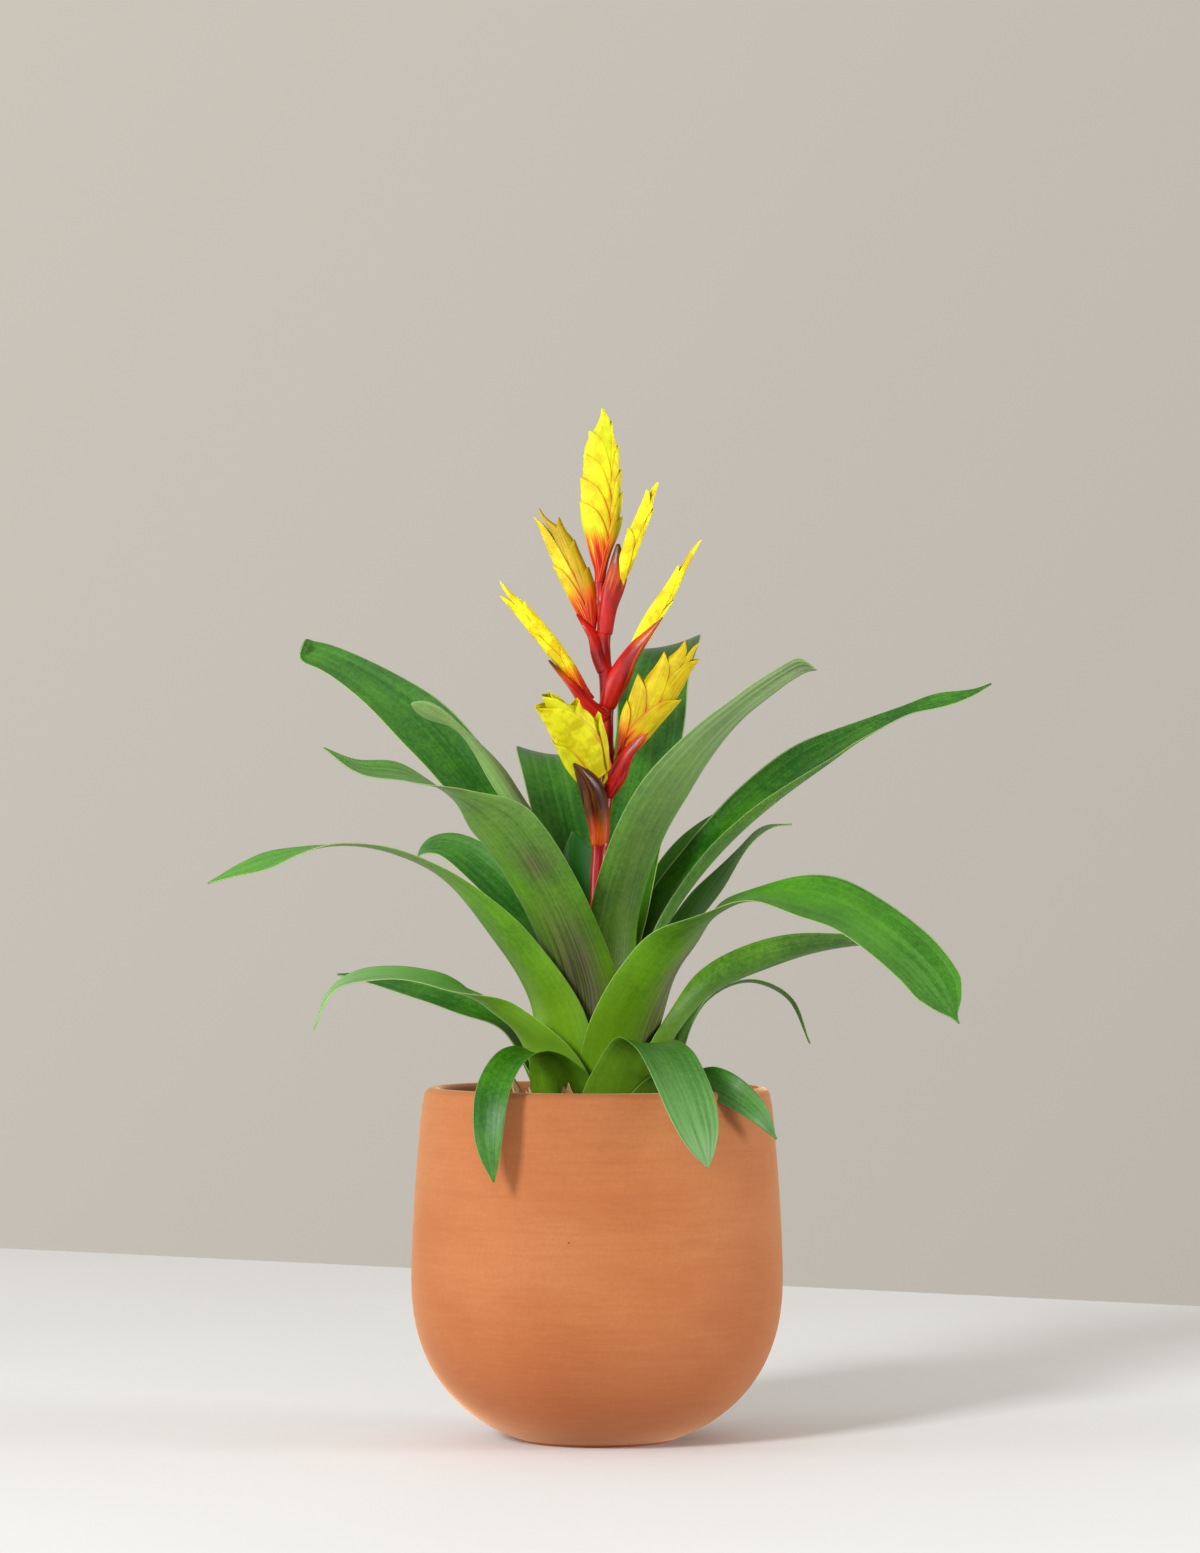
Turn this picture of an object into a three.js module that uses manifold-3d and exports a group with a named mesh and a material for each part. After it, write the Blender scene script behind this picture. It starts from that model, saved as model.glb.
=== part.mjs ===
// Evita vriesea in a terracotta pot. Millimetres, +Z up, origin at the middle of the pot's foot.
// Headings are degrees from +X towards +Y, so 270 faces the front of the plant.
import * as THREE from "three";
import Module from "manifold-3d";

const wasm = await Module();
wasm.setup();

// Pot
const potHeight = 142;
const potWidth = 150;
const potNeckWidth = 140;
const potWidestHeight = 66;
const potBellyDepth = 69.5;
const potBellySquareness = 2.3;
const potWall = 8;
const potFloor = 9;
const potFootWidth = 62;
const potSegments = 36;

// Potting mix and the short stem that stands in it
const soilHeight = 131;
const soilCentreRise = 1.2;
const shortStemRadius = 31.6;
const shortStemDepth = 20;
const coneTop = 156;
const coneFall = 0.75;
const seatGap = 0.3;

// Leaves
const leafThickness = 0.8;
const sheathWidth = 36;
const sheathWrap = THREE.MathUtils.degToRad(64);
// Each leaf has a rank, 0 in the core. The foot lies further out, and the sheath is shorter and
// leans more, with each rank, so that no sheath crosses the next.
const innermostFootRadius = 4.6;
const footStep = 1.15;
const innermostSheathRise = 26;
const sheathRiseStep = -0.6;
const innermostSheathLean = 0.08;
const sheathLeanStep = 0.022;
const tipWidth = 1.6;
const leafStations = 10;
const leafPointsAcross = 7;

// Flower
const stemBaseRadius = 3.4;
const stemTopRadius = 2.3;
const stemSides = 8;
const stemSteps = 14;
const bractThickness = 0.8;
const bractStations = 6;
// Share of a spike's length and radius there, for the slim axis that its bracts stand on
const spikeCore = [[0, 1.1], [0.2, 1.5], [0.8, 0.9], [0.92, 0.4]];

const { smoothstep, lerp, degToRad } = THREE.MathUtils;

// A closed solid through rings of points, each ring listed anticlockwise as seen from the end
function loft(rings) {
  const count = rings[0].length;
  const points = rings.flat();
  const index = [];
  for (let ring = 0; ring < rings.length - 1; ring++) {
    for (let side = 0; side < count; side++) {
      const a = ring * count + side;
      const b = ring * count + (side + 1) % count;
      index.push(a, b, b + count, a, b + count, a + count);
    }
  }
  const last = (rings.length - 1) * count;
  for (let side = 1; side < count - 1; side++) {
    index.push(0, side + 1, side);
    index.push(last, last + side, last + side + 1);
  }
  return solidGeometry(points, index);
}

function solidGeometry(points, index) {
  const geometry = new THREE.BufferGeometry();
  geometry.setFromPoints(points);
  geometry.setIndex(index);
  geometry.computeVertexNormals();
  return geometry;
}

// A thin wall over a grid of points, half its thickness to each side
function wallFromGrid(rows, thickness) {
  const across = rows[0].length;
  const inner = [];
  const outer = [];
  rows.forEach((row, i) => row.forEach((point, j) => {
    const along = rows[Math.min(i + 1, rows.length - 1)][j].clone().sub(rows[Math.max(i - 1, 0)][j]);
    const sideways = row[Math.min(j + 1, across - 1)].clone().sub(row[Math.max(j - 1, 0)]);
    const normal = along.cross(sideways).normalize().multiplyScalar(thickness / 2);
    inner.push(point.clone().add(normal));
    outer.push(point.clone().sub(normal));
  }));
  const far = inner.length;
  const index = [];
  const quad = (a, b, c, d) => index.push(a, b, c, a, c, d);
  for (let i = 0; i < rows.length - 1; i++) {
    for (let j = 0; j < across - 1; j++) {
      const a = i * across + j;
      const b = a + across;
      quad(a, b, b + 1, a + 1);
      index.push(far + a, far + b + 1, far + b, far + a, far + a + 1, far + b + 1);
    }
    const first = i * across;
    const final = first + across - 1;
    quad(first, far + first, far + first + across, first + across);
    quad(final, final + across, far + final + across, far + final);
  }
  const top = (rows.length - 1) * across;
  for (let j = 0; j < across - 1; j++) {
    quad(j, j + 1, far + j + 1, far + j);
    quad(top + j, far + top + j, far + top + j + 1, top + j + 1);
  }
  return solidGeometry(inner.concat(outer), index);
}

function toSolid(geometry) {
  const vertProperties = new Float32Array(geometry.attributes.position.array);
  const triVerts = new Uint32Array(geometry.index.array);
  return new wasm.Manifold(new wasm.Mesh({ numProp: 3, vertProperties, triVerts }));
}

function fuse(geometries) {
  const joined = geometries.map(toSolid).reduce((sum, next) => sum.add(next));
  const mesh = joined.getMesh();
  const geometry = new THREE.BufferGeometry();
  geometry.setAttribute("position", new THREE.BufferAttribute(mesh.vertProperties, 3));
  geometry.setIndex(new THREE.BufferAttribute(mesh.triVerts, 1));
  geometry.computeVertexNormals();
  return geometry;
}

function turned(profile) {
  const geometry = new THREE.LatheGeometry(profile, potSegments);
  geometry.rotateX(Math.PI / 2);
  return geometry;
}

const pair = (radius, height) => new THREE.Vector2(radius, height);

// Radius of the pot's outside at a height: a rounded belly below, a slow taper above
function potRadius(height) {
  if (height < potWidestHeight) {
    const drop = (potWidestHeight - height) / potBellyDepth;
    return potWidth / 2 * (1 - drop ** potBellySquareness) ** (1 / potBellySquareness);
  }
  const rise = (height - potWidestHeight) / (potHeight - potWidestHeight);
  return lerp(potWidth / 2, potNeckWidth / 2, rise ** 1.6);
}

const cavityHeights = [24, 44, 70, 104];
const cavityRadius = (height) => potRadius(height) - potWall;
const cavityFloorRadius = 40;

function potGeometry() {
  const lip = potWall / 2;
  const profile = [pair(0, 0), pair(potFootWidth / 2, 0)];
  for (const height of [3, 8, 16, 28, 44, 66, 92, 118]) {
    profile.push(pair(potRadius(height), height));
  }
  const lipCentre = pair(potNeckWidth / 2 - lip, potHeight - lip);
  for (let turn = 0; turn <= 180; turn += 45) {
    const angle = degToRad(turn);
    profile.push(pair(lipCentre.x + lip * Math.cos(angle), lipCentre.y + lip * Math.sin(angle)));
  }
  for (const height of [...cavityHeights].reverse()) {
    profile.push(pair(cavityRadius(height), height));
  }
  profile.push(pair(cavityFloorRadius, potFloor), pair(0, potFloor));
  return turned(profile);
}

function soilGeometry() {
  const holeFloor = coneTop - coneFall * shortStemRadius - shortStemDepth - seatGap;
  const holeRadius = shortStemRadius + seatGap;
  const profile = [pair(0, potFloor + seatGap), pair(cavityFloorRadius - seatGap, potFloor + seatGap)];
  for (const height of [...cavityHeights, soilHeight]) {
    profile.push(pair(cavityRadius(height) - 2 * seatGap, height));
  }
  profile.push(pair(46, soilHeight + soilCentreRise), pair(holeRadius, soilHeight));
  profile.push(pair(holeRadius, holeFloor), pair(0, holeFloor));
  return turned(profile);
}

function shortStemGeometry() {
  const shoulder = coneTop - coneFall * shortStemRadius;
  const topRadius = innermostFootRadius - 1;
  return turned([
    pair(0, shoulder - shortStemDepth), pair(shortStemRadius - 6, shoulder - shortStemDepth),
    pair(shortStemRadius, shoulder - shortStemDepth / 2), pair(shortStemRadius, shoulder),
    pair(topRadius, coneTop - coneFall * topRadius), pair(0, coneTop - coneFall * topRadius),
  ]);
}

// Sheath, blade and tip widths along a leaf, for a share of its length from 0 to 1
function leafWidth(share, { width, tipFrom = 0.5, tipPower = 2 }) {
  const body = lerp(sheathWidth, width, smoothstep(share, 0, 0.32));
  const towardsTip = Math.max(0, (share - tipFrom) / (1 - tipFrom));
  return Math.max(tipWidth, body * (1 - towardsTip ** tipPower));
}

// The sheath hugs the middle of the rosette as a stretch of a turned wall, and the blade is
// an arc across its midrib. The leaf goes smoothly from one to the other.
function leafGeometry(leaf) {
  const { rank, path, twist = 0, cup = 30 } = leaf;
  const footRadius = innermostFootRadius + footStep * rank;
  const heading = degToRad(leaf.heading);
  const footHeight = coneTop - coneFall * footRadius + 2 * seatGap;
  const sheathRise = innermostSheathRise + sheathRiseStep * rank;
  const sheathLean = innermostSheathLean + sheathLeanStep * rank;
  const up = (rise) => new THREE.Vector3(
    (footRadius + sheathLean * rise) * Math.cos(heading),
    (footRadius + sheathLean * rise) * Math.sin(heading),
    footHeight + rise,
  );
  const midrib = new THREE.CatmullRomCurve3(
    [up(0), up(sheathRise), ...path.map((point) => new THREE.Vector3(...point))],
    false, "centripetal",
  );
  const length = midrib.getLength();
  const sheathLength = Math.hypot(sheathRise, sheathRise * sheathLean);
  const side = new THREE.Vector3(-Math.sin(heading), Math.cos(heading), 0);
  const rows = [];
  for (let station = 0; station < leafStations; station++) {
    const share = station / (leafStations - 1);
    const centre = midrib.getPointAt(share);
    const along = midrib.getTangentAt(share);
    side.addScaledVector(along, -side.dot(along)).normalize();
    const rolled = side.clone().applyAxisAngle(along, degToRad(twist) * smoothstep(share, 0.12, 0.75));
    const inward = along.clone().cross(rolled);
    const width = leafWidth(share, leaf);
    const cupAngle = degToRad(lerp(cup * 1.5, cup * 0.5, smoothstep(share, 0.1, 1)));
    const hug = 1 - smoothstep(share * length, 0.7 * sheathLength, 2.6 * sheathLength);
    const radius = Math.hypot(centre.x, centre.y);
    const azimuth = Math.atan2(centre.y, centre.x);
    const wrap = Math.min(width / 2 / radius, sheathWrap);
    const row = [];
    for (let j = 0; j < leafPointsAcross; j++) {
      const across = 2 * j / (leafPointsAcross - 1) - 1;
      const arc = width / 2 / cupAngle;
      const blade = centre.clone()
        .addScaledVector(rolled, arc * Math.sin(across * cupAngle))
        .addScaledVector(inward, arc * (1 - Math.cos(across * cupAngle)));
      const angle = azimuth + across * wrap;
      const sheath = new THREE.Vector3(radius * Math.cos(angle), radius * Math.sin(angle), centre.z);
      row.push(blade.lerp(sheath, hug));
    }
    rows.push(row);
  }
  return wallFromGrid(rows, leafThickness);
}

// From the core outwards. Each path runs on from the sheath, along the midrib, to the tip.
const leaves = [
  { name: "leaf_core", rank: 0, heading: 96, width: 12, tipFrom: 0.6,
    path: [[-1, 11, 214], [-5, 14, 231], [-9, 15, 244]] },
  { name: "leaf_left_narrow", rank: 1, heading: 180, width: 13, tipFrom: 0.6, cup: 40,
    path: [[-13, 2, 218], [-34, 2, 257], [-56, -3, 287], [-67, -6, 293], [-75, -8, 297]] },
  { name: "leaf_back_right_upright", rank: 2, heading: 62, width: 27, tipFrom: 0.7, tipPower: 4,
    path: [[12, 18, 234], [20, 38, 284], [25, 48, 307], [29, 60, 321], [31, 76, 324], [32, 92, 314]] },
  { name: "leaf_back_left_upright", rank: 3, heading: 111, width: 25, tipFrom: 0.7, tipPower: 4,
    path: [[-8, 22, 216], [-16, 35, 258], [-20, 47, 274], [-22, 64, 277], [-24, 80, 268]] },
  { name: "leaf_upper_left", rank: 4, heading: 142, width: 25, tipFrom: 0.72, tipPower: 4, twist: -35,
    path: [[-22, 18, 214], [-45, 35, 255], [-76, 54, 293], [-112, 70, 318], [-125, 74, 321]] },
  { name: "leaf_upper_right", rank: 5, heading: 298, width: 26, tipFrom: 0.72, tipPower: 4,
    path: [[8, -20, 206], [20, -34, 246], [43, -53, 280], [71, -71, 300], [82, -76, 307]] },
  { name: "leaf_back_left_mid", rank: 6, heading: 140, width: 21, twist: -20,
    path: [[-17, 17, 195], [-37, 36, 222], [-65, 50, 240], [-79, 55, 236]] },
  { name: "leaf_right_long", rank: 7, heading: 18, width: 23, twist: 35, tipFrom: 0.3,
    path: [[25, 8, 203], [47, 22, 237], [84, 38, 271], [126, 51, 297], [165, 60, 308]] },
  { name: "leaf_right_behind", rank: 8, heading: 46, width: 20, twist: 20,
    path: [[22, 24, 205], [39, 47, 238], [66, 70, 261], [84, 84, 266]] },
  { name: "leaf_front_left_big", rank: 9, heading: 254, width: 29, tipFrom: 0.38,
    path: [[-7, -25, 184], [-21, -46, 220], [-43, -72, 251], [-74, -94, 264], [-105, -104, 274]] },
  { name: "leaf_right_pale_tip", rank: 10, heading: 30, width: 18, twist: 20,
    path: [[26, 17, 189], [47, 36, 222], [71, 52, 249], [82, 58, 249]] },
  { name: "leaf_back_high", rank: 11, heading: 96, width: 22,
    path: [[0, 36, 193], [2, 62, 236], [5, 98, 254], [6, 136, 240], [6, 156, 218]] },
  { name: "leaf_left_long", rank: 12, heading: 230, width: 21, cup: 14, tipFrom: 0.3,
    path: [[-19, -22, 176], [-41, -33, 209], [-67, -38, 230], [-100, -40, 236], [-153, -36, 227]] },
  { name: "leaf_right_big", rank: 13, heading: 296, width: 33, twist: 58,
    path: [[15, -31, 171], [32, -50, 199], [60, -69, 218], [92, -84, 219], [123, -94, 202],
      [138, -100, 175]] },
  { name: "leaf_back_right_arching", rank: 14, heading: 76, width: 22,
    path: [[8, 34, 180], [13, 72, 210], [16, 108, 212], [18, 138, 190], [19, 152, 166]] },
  { name: "leaf_right_channelled", rank: 15, heading: 345, width: 22, cup: 50,
    path: [[33, -8, 166], [48, -2, 182], [80, 6, 197], [117, 10, 200], [134, 10, 196]] },
  { name: "leaf_lower_left", rank: 16, heading: 226, width: 22, cup: 24,
    path: [[-26, -26, 163], [-46, -34, 178], [-78, -43, 187], [-103, -50, 180], [-112, -51, 168]] },
  { name: "leaf_lower_left_behind", rank: 17, heading: 164, width: 18, twist: -15,
    path: [[-38, 12, 168], [-60, 20, 180], [-84, 26, 185], [-107, 30, 184]] },
  { name: "leaf_back_left_arching", rank: 18, heading: 104, width: 22,
    path: [[-9, 40, 168], [-13, 74, 190], [-15, 106, 182], [-16, 124, 150]] },
  { name: "leaf_right_hooked", rank: 19, heading: 22, width: 8, tipFrom: 0.3,
    path: [[44, 19, 176], [62, 28, 184], [79, 35, 177], [88, 38, 158]] },
  { name: "leaf_over_rim_left", rank: 20, heading: 240, width: 15, twist: -20,
    path: [[-22, -40, 156], [-33, -58, 155], [-40, -70, 144], [-42, -76, 126], [-40, -78, 108]] },
  { name: "leaf_over_rim_front", rank: 21, heading: 300, width: 26, tipFrom: 0.6, tipPower: 3,
    path: [[19, -44, 160], [27, -62, 158], [34, -75, 146], [39, -82, 130], [42, -84, 113]] },
  { name: "leaf_over_rim_right", rank: 22, heading: 322, width: 16, twist: 45,
    path: [[38, -34, 149], [53, -49, 146.5], [63, -50, 134.5], [71, -43, 123]] },
  { name: "leaf_over_rim_back", rank: 23, heading: 74, width: 20,
    path: [[12, 50, 156], [17, 68, 158], [22, 86, 142], [24, 90, 116]] },
];

// The flower stem leans a little and straightens again between its joints
const stemPath = new THREE.CatmullRomCurve3([
  [0, 0, coneTop - coneFall * (innermostFootRadius - 1) + seatGap], [0, 0, 200], [0.5, 0, 230],
  [3, 0, 256], [4, 0, 284], [3.2, 0, 313], [2, 0, 338], [1.2, -0.4, 347],
].map((point) => new THREE.Vector3(...point)), false, "centripetal");

function stemRod() {
  const rings = [];
  for (let step = 0; step <= stemSteps; step++) {
    const share = step / stemSteps;
    const centre = stemPath.getPointAt(share);
    const along = stemPath.getTangentAt(share);
    const right = new THREE.Vector3(1, 0, 0);
    right.addScaledVector(along, -right.dot(along)).normalize();
    const back = along.clone().cross(right);
    const radius = lerp(stemBaseRadius, stemTopRadius, share);
    rings.push(Array.from({ length: stemSides }, (_, side) => {
      const angle = 2 * Math.PI * side / stemSides;
      return centre.clone()
        .addScaledVector(right, radius * Math.cos(angle))
        .addScaledVector(back, radius * Math.sin(angle));
    }));
  }
  return loft(rings);
}

function stemAxis(height) {
  let low = 0;
  let high = 1;
  for (let halving = 0; halving < 24; halving++) {
    const middle = (low + high) / 2;
    if (stemPath.getPointAt(middle).z < height) {
      low = middle;
    } else {
      high = middle;
    }
  }
  return stemPath.getPointAt(low);
}

// Foot, length and directions of a flat spike: along it, out of its face, and across its width
// on the side that lies away from the stem
function spikeFrame({ foot, tip, facing }) {
  const start = new THREE.Vector3(...foot);
  const axis = new THREE.Vector3(...tip).sub(start);
  const length = axis.length();
  axis.normalize();
  const front = new THREE.Vector3(...facing);
  front.addScaledVector(axis, -front.dot(axis)).normalize();
  const sideways = front.clone().cross(axis);
  const away = sideways.clone().multiplyScalar(sideways.z > 0 ? -1 : 1);
  return { start, axis, length, front, sideways, away };
}

// The red bract below a side spike: a folded boat fused to the stem, that the foot of the spike
// stands in. Its keel runs along the spike's outer edge, or, where it is flat, along its face.
function stemBract(spike) {
  const frame = spikeFrame(spike);
  const { height, reach, keelOut, tipOut, depth, gap, flat } = spike.bract;
  const { start, axis } = frame;
  const away = flat ? frame.front : frame.away;
  const front = flat ? frame.sideways : frame.front;
  const root = stemAxis(height);
  const outward = start.clone().sub(root).setZ(0).normalize();
  const keel = new THREE.CatmullRomCurve3([
    root.addScaledVector(outward, stemTopRadius - 0.4),
    start.clone().addScaledVector(axis, 0.35 * reach).addScaledVector(away, keelOut),
    start.clone().addScaledVector(axis, reach).addScaledVector(away, tipOut),
  ], false, "centripetal");
  const rows = [];
  for (let station = 0; station < bractStations; station++) {
    const share = station / (bractStations - 1);
    const centre = keel.getPointAt(share);
    const fold = Math.sin(Math.PI * (0.22 + 0.78 * share)) ** 0.7;
    const inward = keel.getTangentAt(share).cross(front).normalize();
    inward.multiplyScalar(inward.dot(away) > 0 ? -1 : 1);
    const deep = Math.max(0.9, depth * fold);
    const spread = Math.max(0.5, gap * Math.min(1, 1.6 * fold));
    rows.push([[-1, 1], [-1, 0.5], [0, 0], [1, 0.5], [1, 1]].map(([wing, depthShare]) => centre.clone()
      .addScaledVector(front, wing * spread)
      .addScaledVector(inward, deep * depthShare)));
  }
  const sense = rows[1][2].clone().sub(rows[0][2]).cross(front).dot(away) > 0;
  return wallFromGrid(sense ? rows.map((row) => row.reverse()) : rows, bractThickness);
}

// Half width of a spike along its length, as a share of its widest
const spikeOutline = (share) => 0.1 + 0.9 * Math.sin(Math.PI * Math.min(1, share)) ** 0.85;

// One folded bract of a spike: a keel on the spike's outline and two wings that close on its axis
function spikeBract(frame, { from, span, half, thick, side }) {
  const { start, axis, length, front, sideways } = frame;
  const rings = [0, 0.35, 0.7, 1].map((share) => {
    const along = from + span * share;
    const edge = half * spikeOutline(along) + 0.7 * share ** 2;
    const inner = lerp(-0.15 * edge, edge - 0.5, share ** 2.2);
    const deep = Math.max(0.3, thick * (0.55 + 0.9 * share) * (1 - share ** 3));
    const centre = start.clone().addScaledVector(axis, length * along);
    const place = (out, up) => centre.clone()
      .addScaledVector(sideways, side * out)
      .addScaledVector(front, up);
    const middle = lerp(inner, edge, 0.6);
    const ring = [place(edge, 0), place(middle, deep * 0.85), place(inner, deep),
      place(inner, -deep), place(middle, -deep * 0.85)];
    return side > 0 ? ring : ring.reverse();
  });
  return loft(rings);
}

// A flat spike: bracts left and right by turns, the lower ones over the upper ones
function spikeGeometry(spike) {
  const { bracts, width, thick = 2 } = spike;
  const frame = spikeFrame(spike);
  const pieces = [];
  for (let number = 0; number < bracts; number++) {
    const share = number / (bracts - 1);
    pieces.push(spikeBract(frame, {
      from: lerp(0.04, 0.7, share), span: lerp(0.36, 0.3, share), half: width / 2,
      thick: thick * lerp(1, 0.45, share), side: number % 2 ? -1 : 1,
    }));
  }
  const core = spikeCore.map(([share, radius]) => {
    const centre = frame.start.clone().addScaledVector(frame.axis, frame.length * share);
    return Array.from({ length: 6 }, (_, side) => centre.clone()
      .addScaledVector(frame.front, radius * Math.cos(Math.PI * side / 3))
      .addScaledVector(frame.sideways, -radius * Math.sin(Math.PI * side / 3)));
  });
  return fuse([loft(core), ...pieces]);
}

const spikes = [
  { name: "spike_top", foot: [1.1, -0.5, 347.4], tip: [2.6, -4, 417], facing: [0, -1, 0],
    width: 18.5, bracts: 12, thick: 2.6 },
  { name: "spike_upper_right", foot: [6.4, -2, 336], tip: [24, -10, 387], facing: [0.85, -0.5, 0],
    width: 9.5, bracts: 7,
    bract: { height: 327, reach: 25, keelOut: 6.4, tipOut: 7.2, depth: 9, gap: 3 } },
  { name: "spike_upper_left", foot: [-1.8, 0.8, 324], tip: [-24.5, 10, 378], facing: [-0.3, -1, 0],
    width: 14, bracts: 8,
    bract: { height: 314, reach: 22, keelOut: 7, tipOut: 8.6, depth: 7, gap: 3 } },
  { name: "spike_mid_right", foot: [8, -2, 306], tip: [41.5, -18, 362], facing: [0.3, -1, 0],
    width: 10, bracts: 7,
    bract: { height: 298, reach: 30, keelOut: 7.4, tipOut: 8.2, depth: 11, gap: 3 } },
  { name: "spike_mid_left", foot: [-2, -1.6, 299], tip: [-39.5, -8, 346], facing: [-0.3, -1, 0],
    width: 10, bracts: 7,
    bract: { height: 292, reach: 24, keelOut: 6.4, tipOut: 7.4, depth: 6, gap: 3 } },
  { name: "spike_lower_right", foot: [9, -2.5, 272], tip: [41, -16, 320], facing: [0.1, -1, 0.1],
    width: 21, bracts: 7,
    bract: { height: 263, reach: 23, keelOut: 9, tipOut: 11.4, depth: 9, gap: 3 } },
  { name: "spike_lower_left", foot: [-0.5, -7, 260], tip: [-16, -42, 301], facing: [0.1, -1, 0],
    width: 29, bracts: 7,
    bract: { height: 241, reach: 16, keelOut: 4.6, tipOut: 5.4, depth: 5, gap: 5.5, flat: true } },
];

const materials = {
  terracotta: new THREE.MeshStandardMaterial({ color: 0xc97a4a, roughness: 0.9, metalness: 0 }),
  soil: new THREE.MeshStandardMaterial({ color: 0x3a2a1e, roughness: 1, metalness: 0 }),
  shortStem: new THREE.MeshStandardMaterial({ color: 0x6d5a3a, roughness: 0.9, metalness: 0 }),
  leaf: new THREE.MeshStandardMaterial({ color: 0x3f7d28, roughness: 0.4, metalness: 0 }),
  redStem: new THREE.MeshStandardMaterial({ color: 0xbf1d16, roughness: 0.35, metalness: 0 }),
  yellowBract: new THREE.MeshStandardMaterial({ color: 0xf2e116, roughness: 0.4, metalness: 0 }),
};

const group = new THREE.Group();

function add(name, geometry, material) {
  const mesh = new THREE.Mesh(geometry, material);
  mesh.name = name;
  group.add(mesh);
}

add("pot", potGeometry(), materials.terracotta);
add("soil", soilGeometry(), materials.soil);
add("short_stem", shortStemGeometry(), materials.shortStem);
for (const leaf of leaves) {
  add(leaf.name, leafGeometry(leaf), materials.leaf);
}
const sideSpikes = spikes.filter((spike) => spike.bract);
add("flower_stem", fuse([stemRod(), ...sideSpikes.map(stemBract)]), materials.redStem);
for (const spike of spikes) {
  add(spike.name, spikeGeometry(spike), materials.yellowBract);
}

export default group;
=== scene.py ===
# %% [markdown]
# # A vriesea in a terracotta pot
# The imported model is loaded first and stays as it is. It gives the place of every piece: the pot,
# the potting mix, the short stem in it, twenty-four leaves, the flower stem and its seven spikes.
# Each of them is made again here with the curves, the surface and the colours of the living plant.
# Sizes below are in millimetres, and `MM` turns them into Blender's metres.

# %% Load the frame
import math
import random

import bpy
import numpy as np
from mathutils import Matrix, Vector, noise


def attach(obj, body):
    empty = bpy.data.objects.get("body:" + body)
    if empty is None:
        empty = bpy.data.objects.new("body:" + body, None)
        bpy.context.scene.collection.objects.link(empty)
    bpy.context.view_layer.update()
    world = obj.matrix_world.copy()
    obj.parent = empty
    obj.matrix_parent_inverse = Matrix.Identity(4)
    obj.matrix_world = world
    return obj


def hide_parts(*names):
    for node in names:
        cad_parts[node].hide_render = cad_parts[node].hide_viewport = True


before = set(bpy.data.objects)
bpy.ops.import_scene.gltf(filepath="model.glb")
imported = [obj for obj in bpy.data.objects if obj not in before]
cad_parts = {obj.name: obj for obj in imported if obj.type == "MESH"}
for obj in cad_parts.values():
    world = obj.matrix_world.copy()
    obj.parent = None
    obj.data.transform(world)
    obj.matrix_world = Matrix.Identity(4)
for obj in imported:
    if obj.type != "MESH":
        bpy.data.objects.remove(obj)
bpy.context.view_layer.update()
MM = 0.001
print("nodes in the frame:", len(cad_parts))

# %% [markdown]
# ## Camera
# The photograph was taken from almost two metres away and from about the height of the leaves, so
# the sides of the pot hardly converge. A long lens does the same here. The camera looks up a little,
# which puts the plant low in the frame and leaves the wall above it.

# %% Camera
CAMERA_PLACE = (1.2, -1900.0, 219.0)
CAMERA_TILT = 1.463
LENS = 108.75

camera_data = bpy.data.cameras.new("camera")
camera_data.lens = LENS
camera_data.sensor_width = 36.0
camera = bpy.data.objects.new("camera", camera_data)
bpy.context.scene.collection.objects.link(camera)
camera.location = Vector(CAMERA_PLACE) * MM
camera.rotation_euler = (math.radians(90.0 + CAMERA_TILT), 0.0, 0.0)
bpy.context.scene.camera = camera
print("camera distance in metres:", round(camera.location.length, 3))

# %% [markdown]
# ## Nodes for materials
# Every finish is built from nodes in code. These few helpers keep that readable: one adds a node
# and joins what is given to its sockets, and the others stand for the sums, mixes and ramps that
# come up again and again. `paint` lays colours over each other where patterns let them show, as a
# stain or a glaze lies on the real surface.

# %% Node helpers


def add_node(tree, kind, inputs=None, **settings):
    """Adds a shader node. A socket in inputs is joined, and a plain value is set."""
    made = tree.nodes.new("ShaderNode" + kind)
    for key, value in settings.items():
        setattr(made, key, value)
    for key, value in (inputs or {}).items():
        if isinstance(value, bpy.types.NodeSocket):
            tree.links.new(value, made.inputs[key])
        else:
            made.inputs[key].default_value = value
    return made


def sums(operation, first, second=0.0, clamp=False):
    """One step of arithmetic on a socket and another socket or a number."""
    inputs = {0: first, 1: second}
    return add_node(first.id_data, "Math", inputs, operation=operation, use_clamp=clamp).outputs[0]


def plus(first, second):
    return sums("ADD", first, second)


def times(first, second):
    return sums("MULTIPLY", first, second)


def ease(value, start, end, low=0.0, high=1.0):
    """Goes smoothly from low to high while value goes from start to end."""
    made = add_node(
        value.id_data, "MapRange",
        {"Value": value, "From Min": start, "From Max": end, "To Min": low, "To Max": high},
        interpolation_type="SMOOTHSTEP",
    )
    return made.outputs["Result"]


def blend(factor, first, second):
    """Mixes two colours."""
    return add_node(factor.id_data, "Mix", {0: factor, 6: first, 7: second}, data_type="RGBA").outputs[2]


def paint(tint, layers):
    """Lays colours over a tint. A layer is a pattern, its values where the colour starts and is
    full, how much it covers there, and the colour."""
    for pattern, start, full, cover, over in layers:
        tint = blend(ease(pattern, start, full, 0.0, cover), tint, over)
    return tint


def colour(red, green, blue):
    """A colour as a shader socket takes it, from the 0 to 255 values seen on a screen."""
    return (*[((part / 255.0 + 0.055) / 1.055) ** 2.4 for part in (red, green, blue)], 1.0)


def palette(**named):
    """Named colours from their screen values."""
    return {name: colour(*parts) for name, parts in named.items()}


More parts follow.
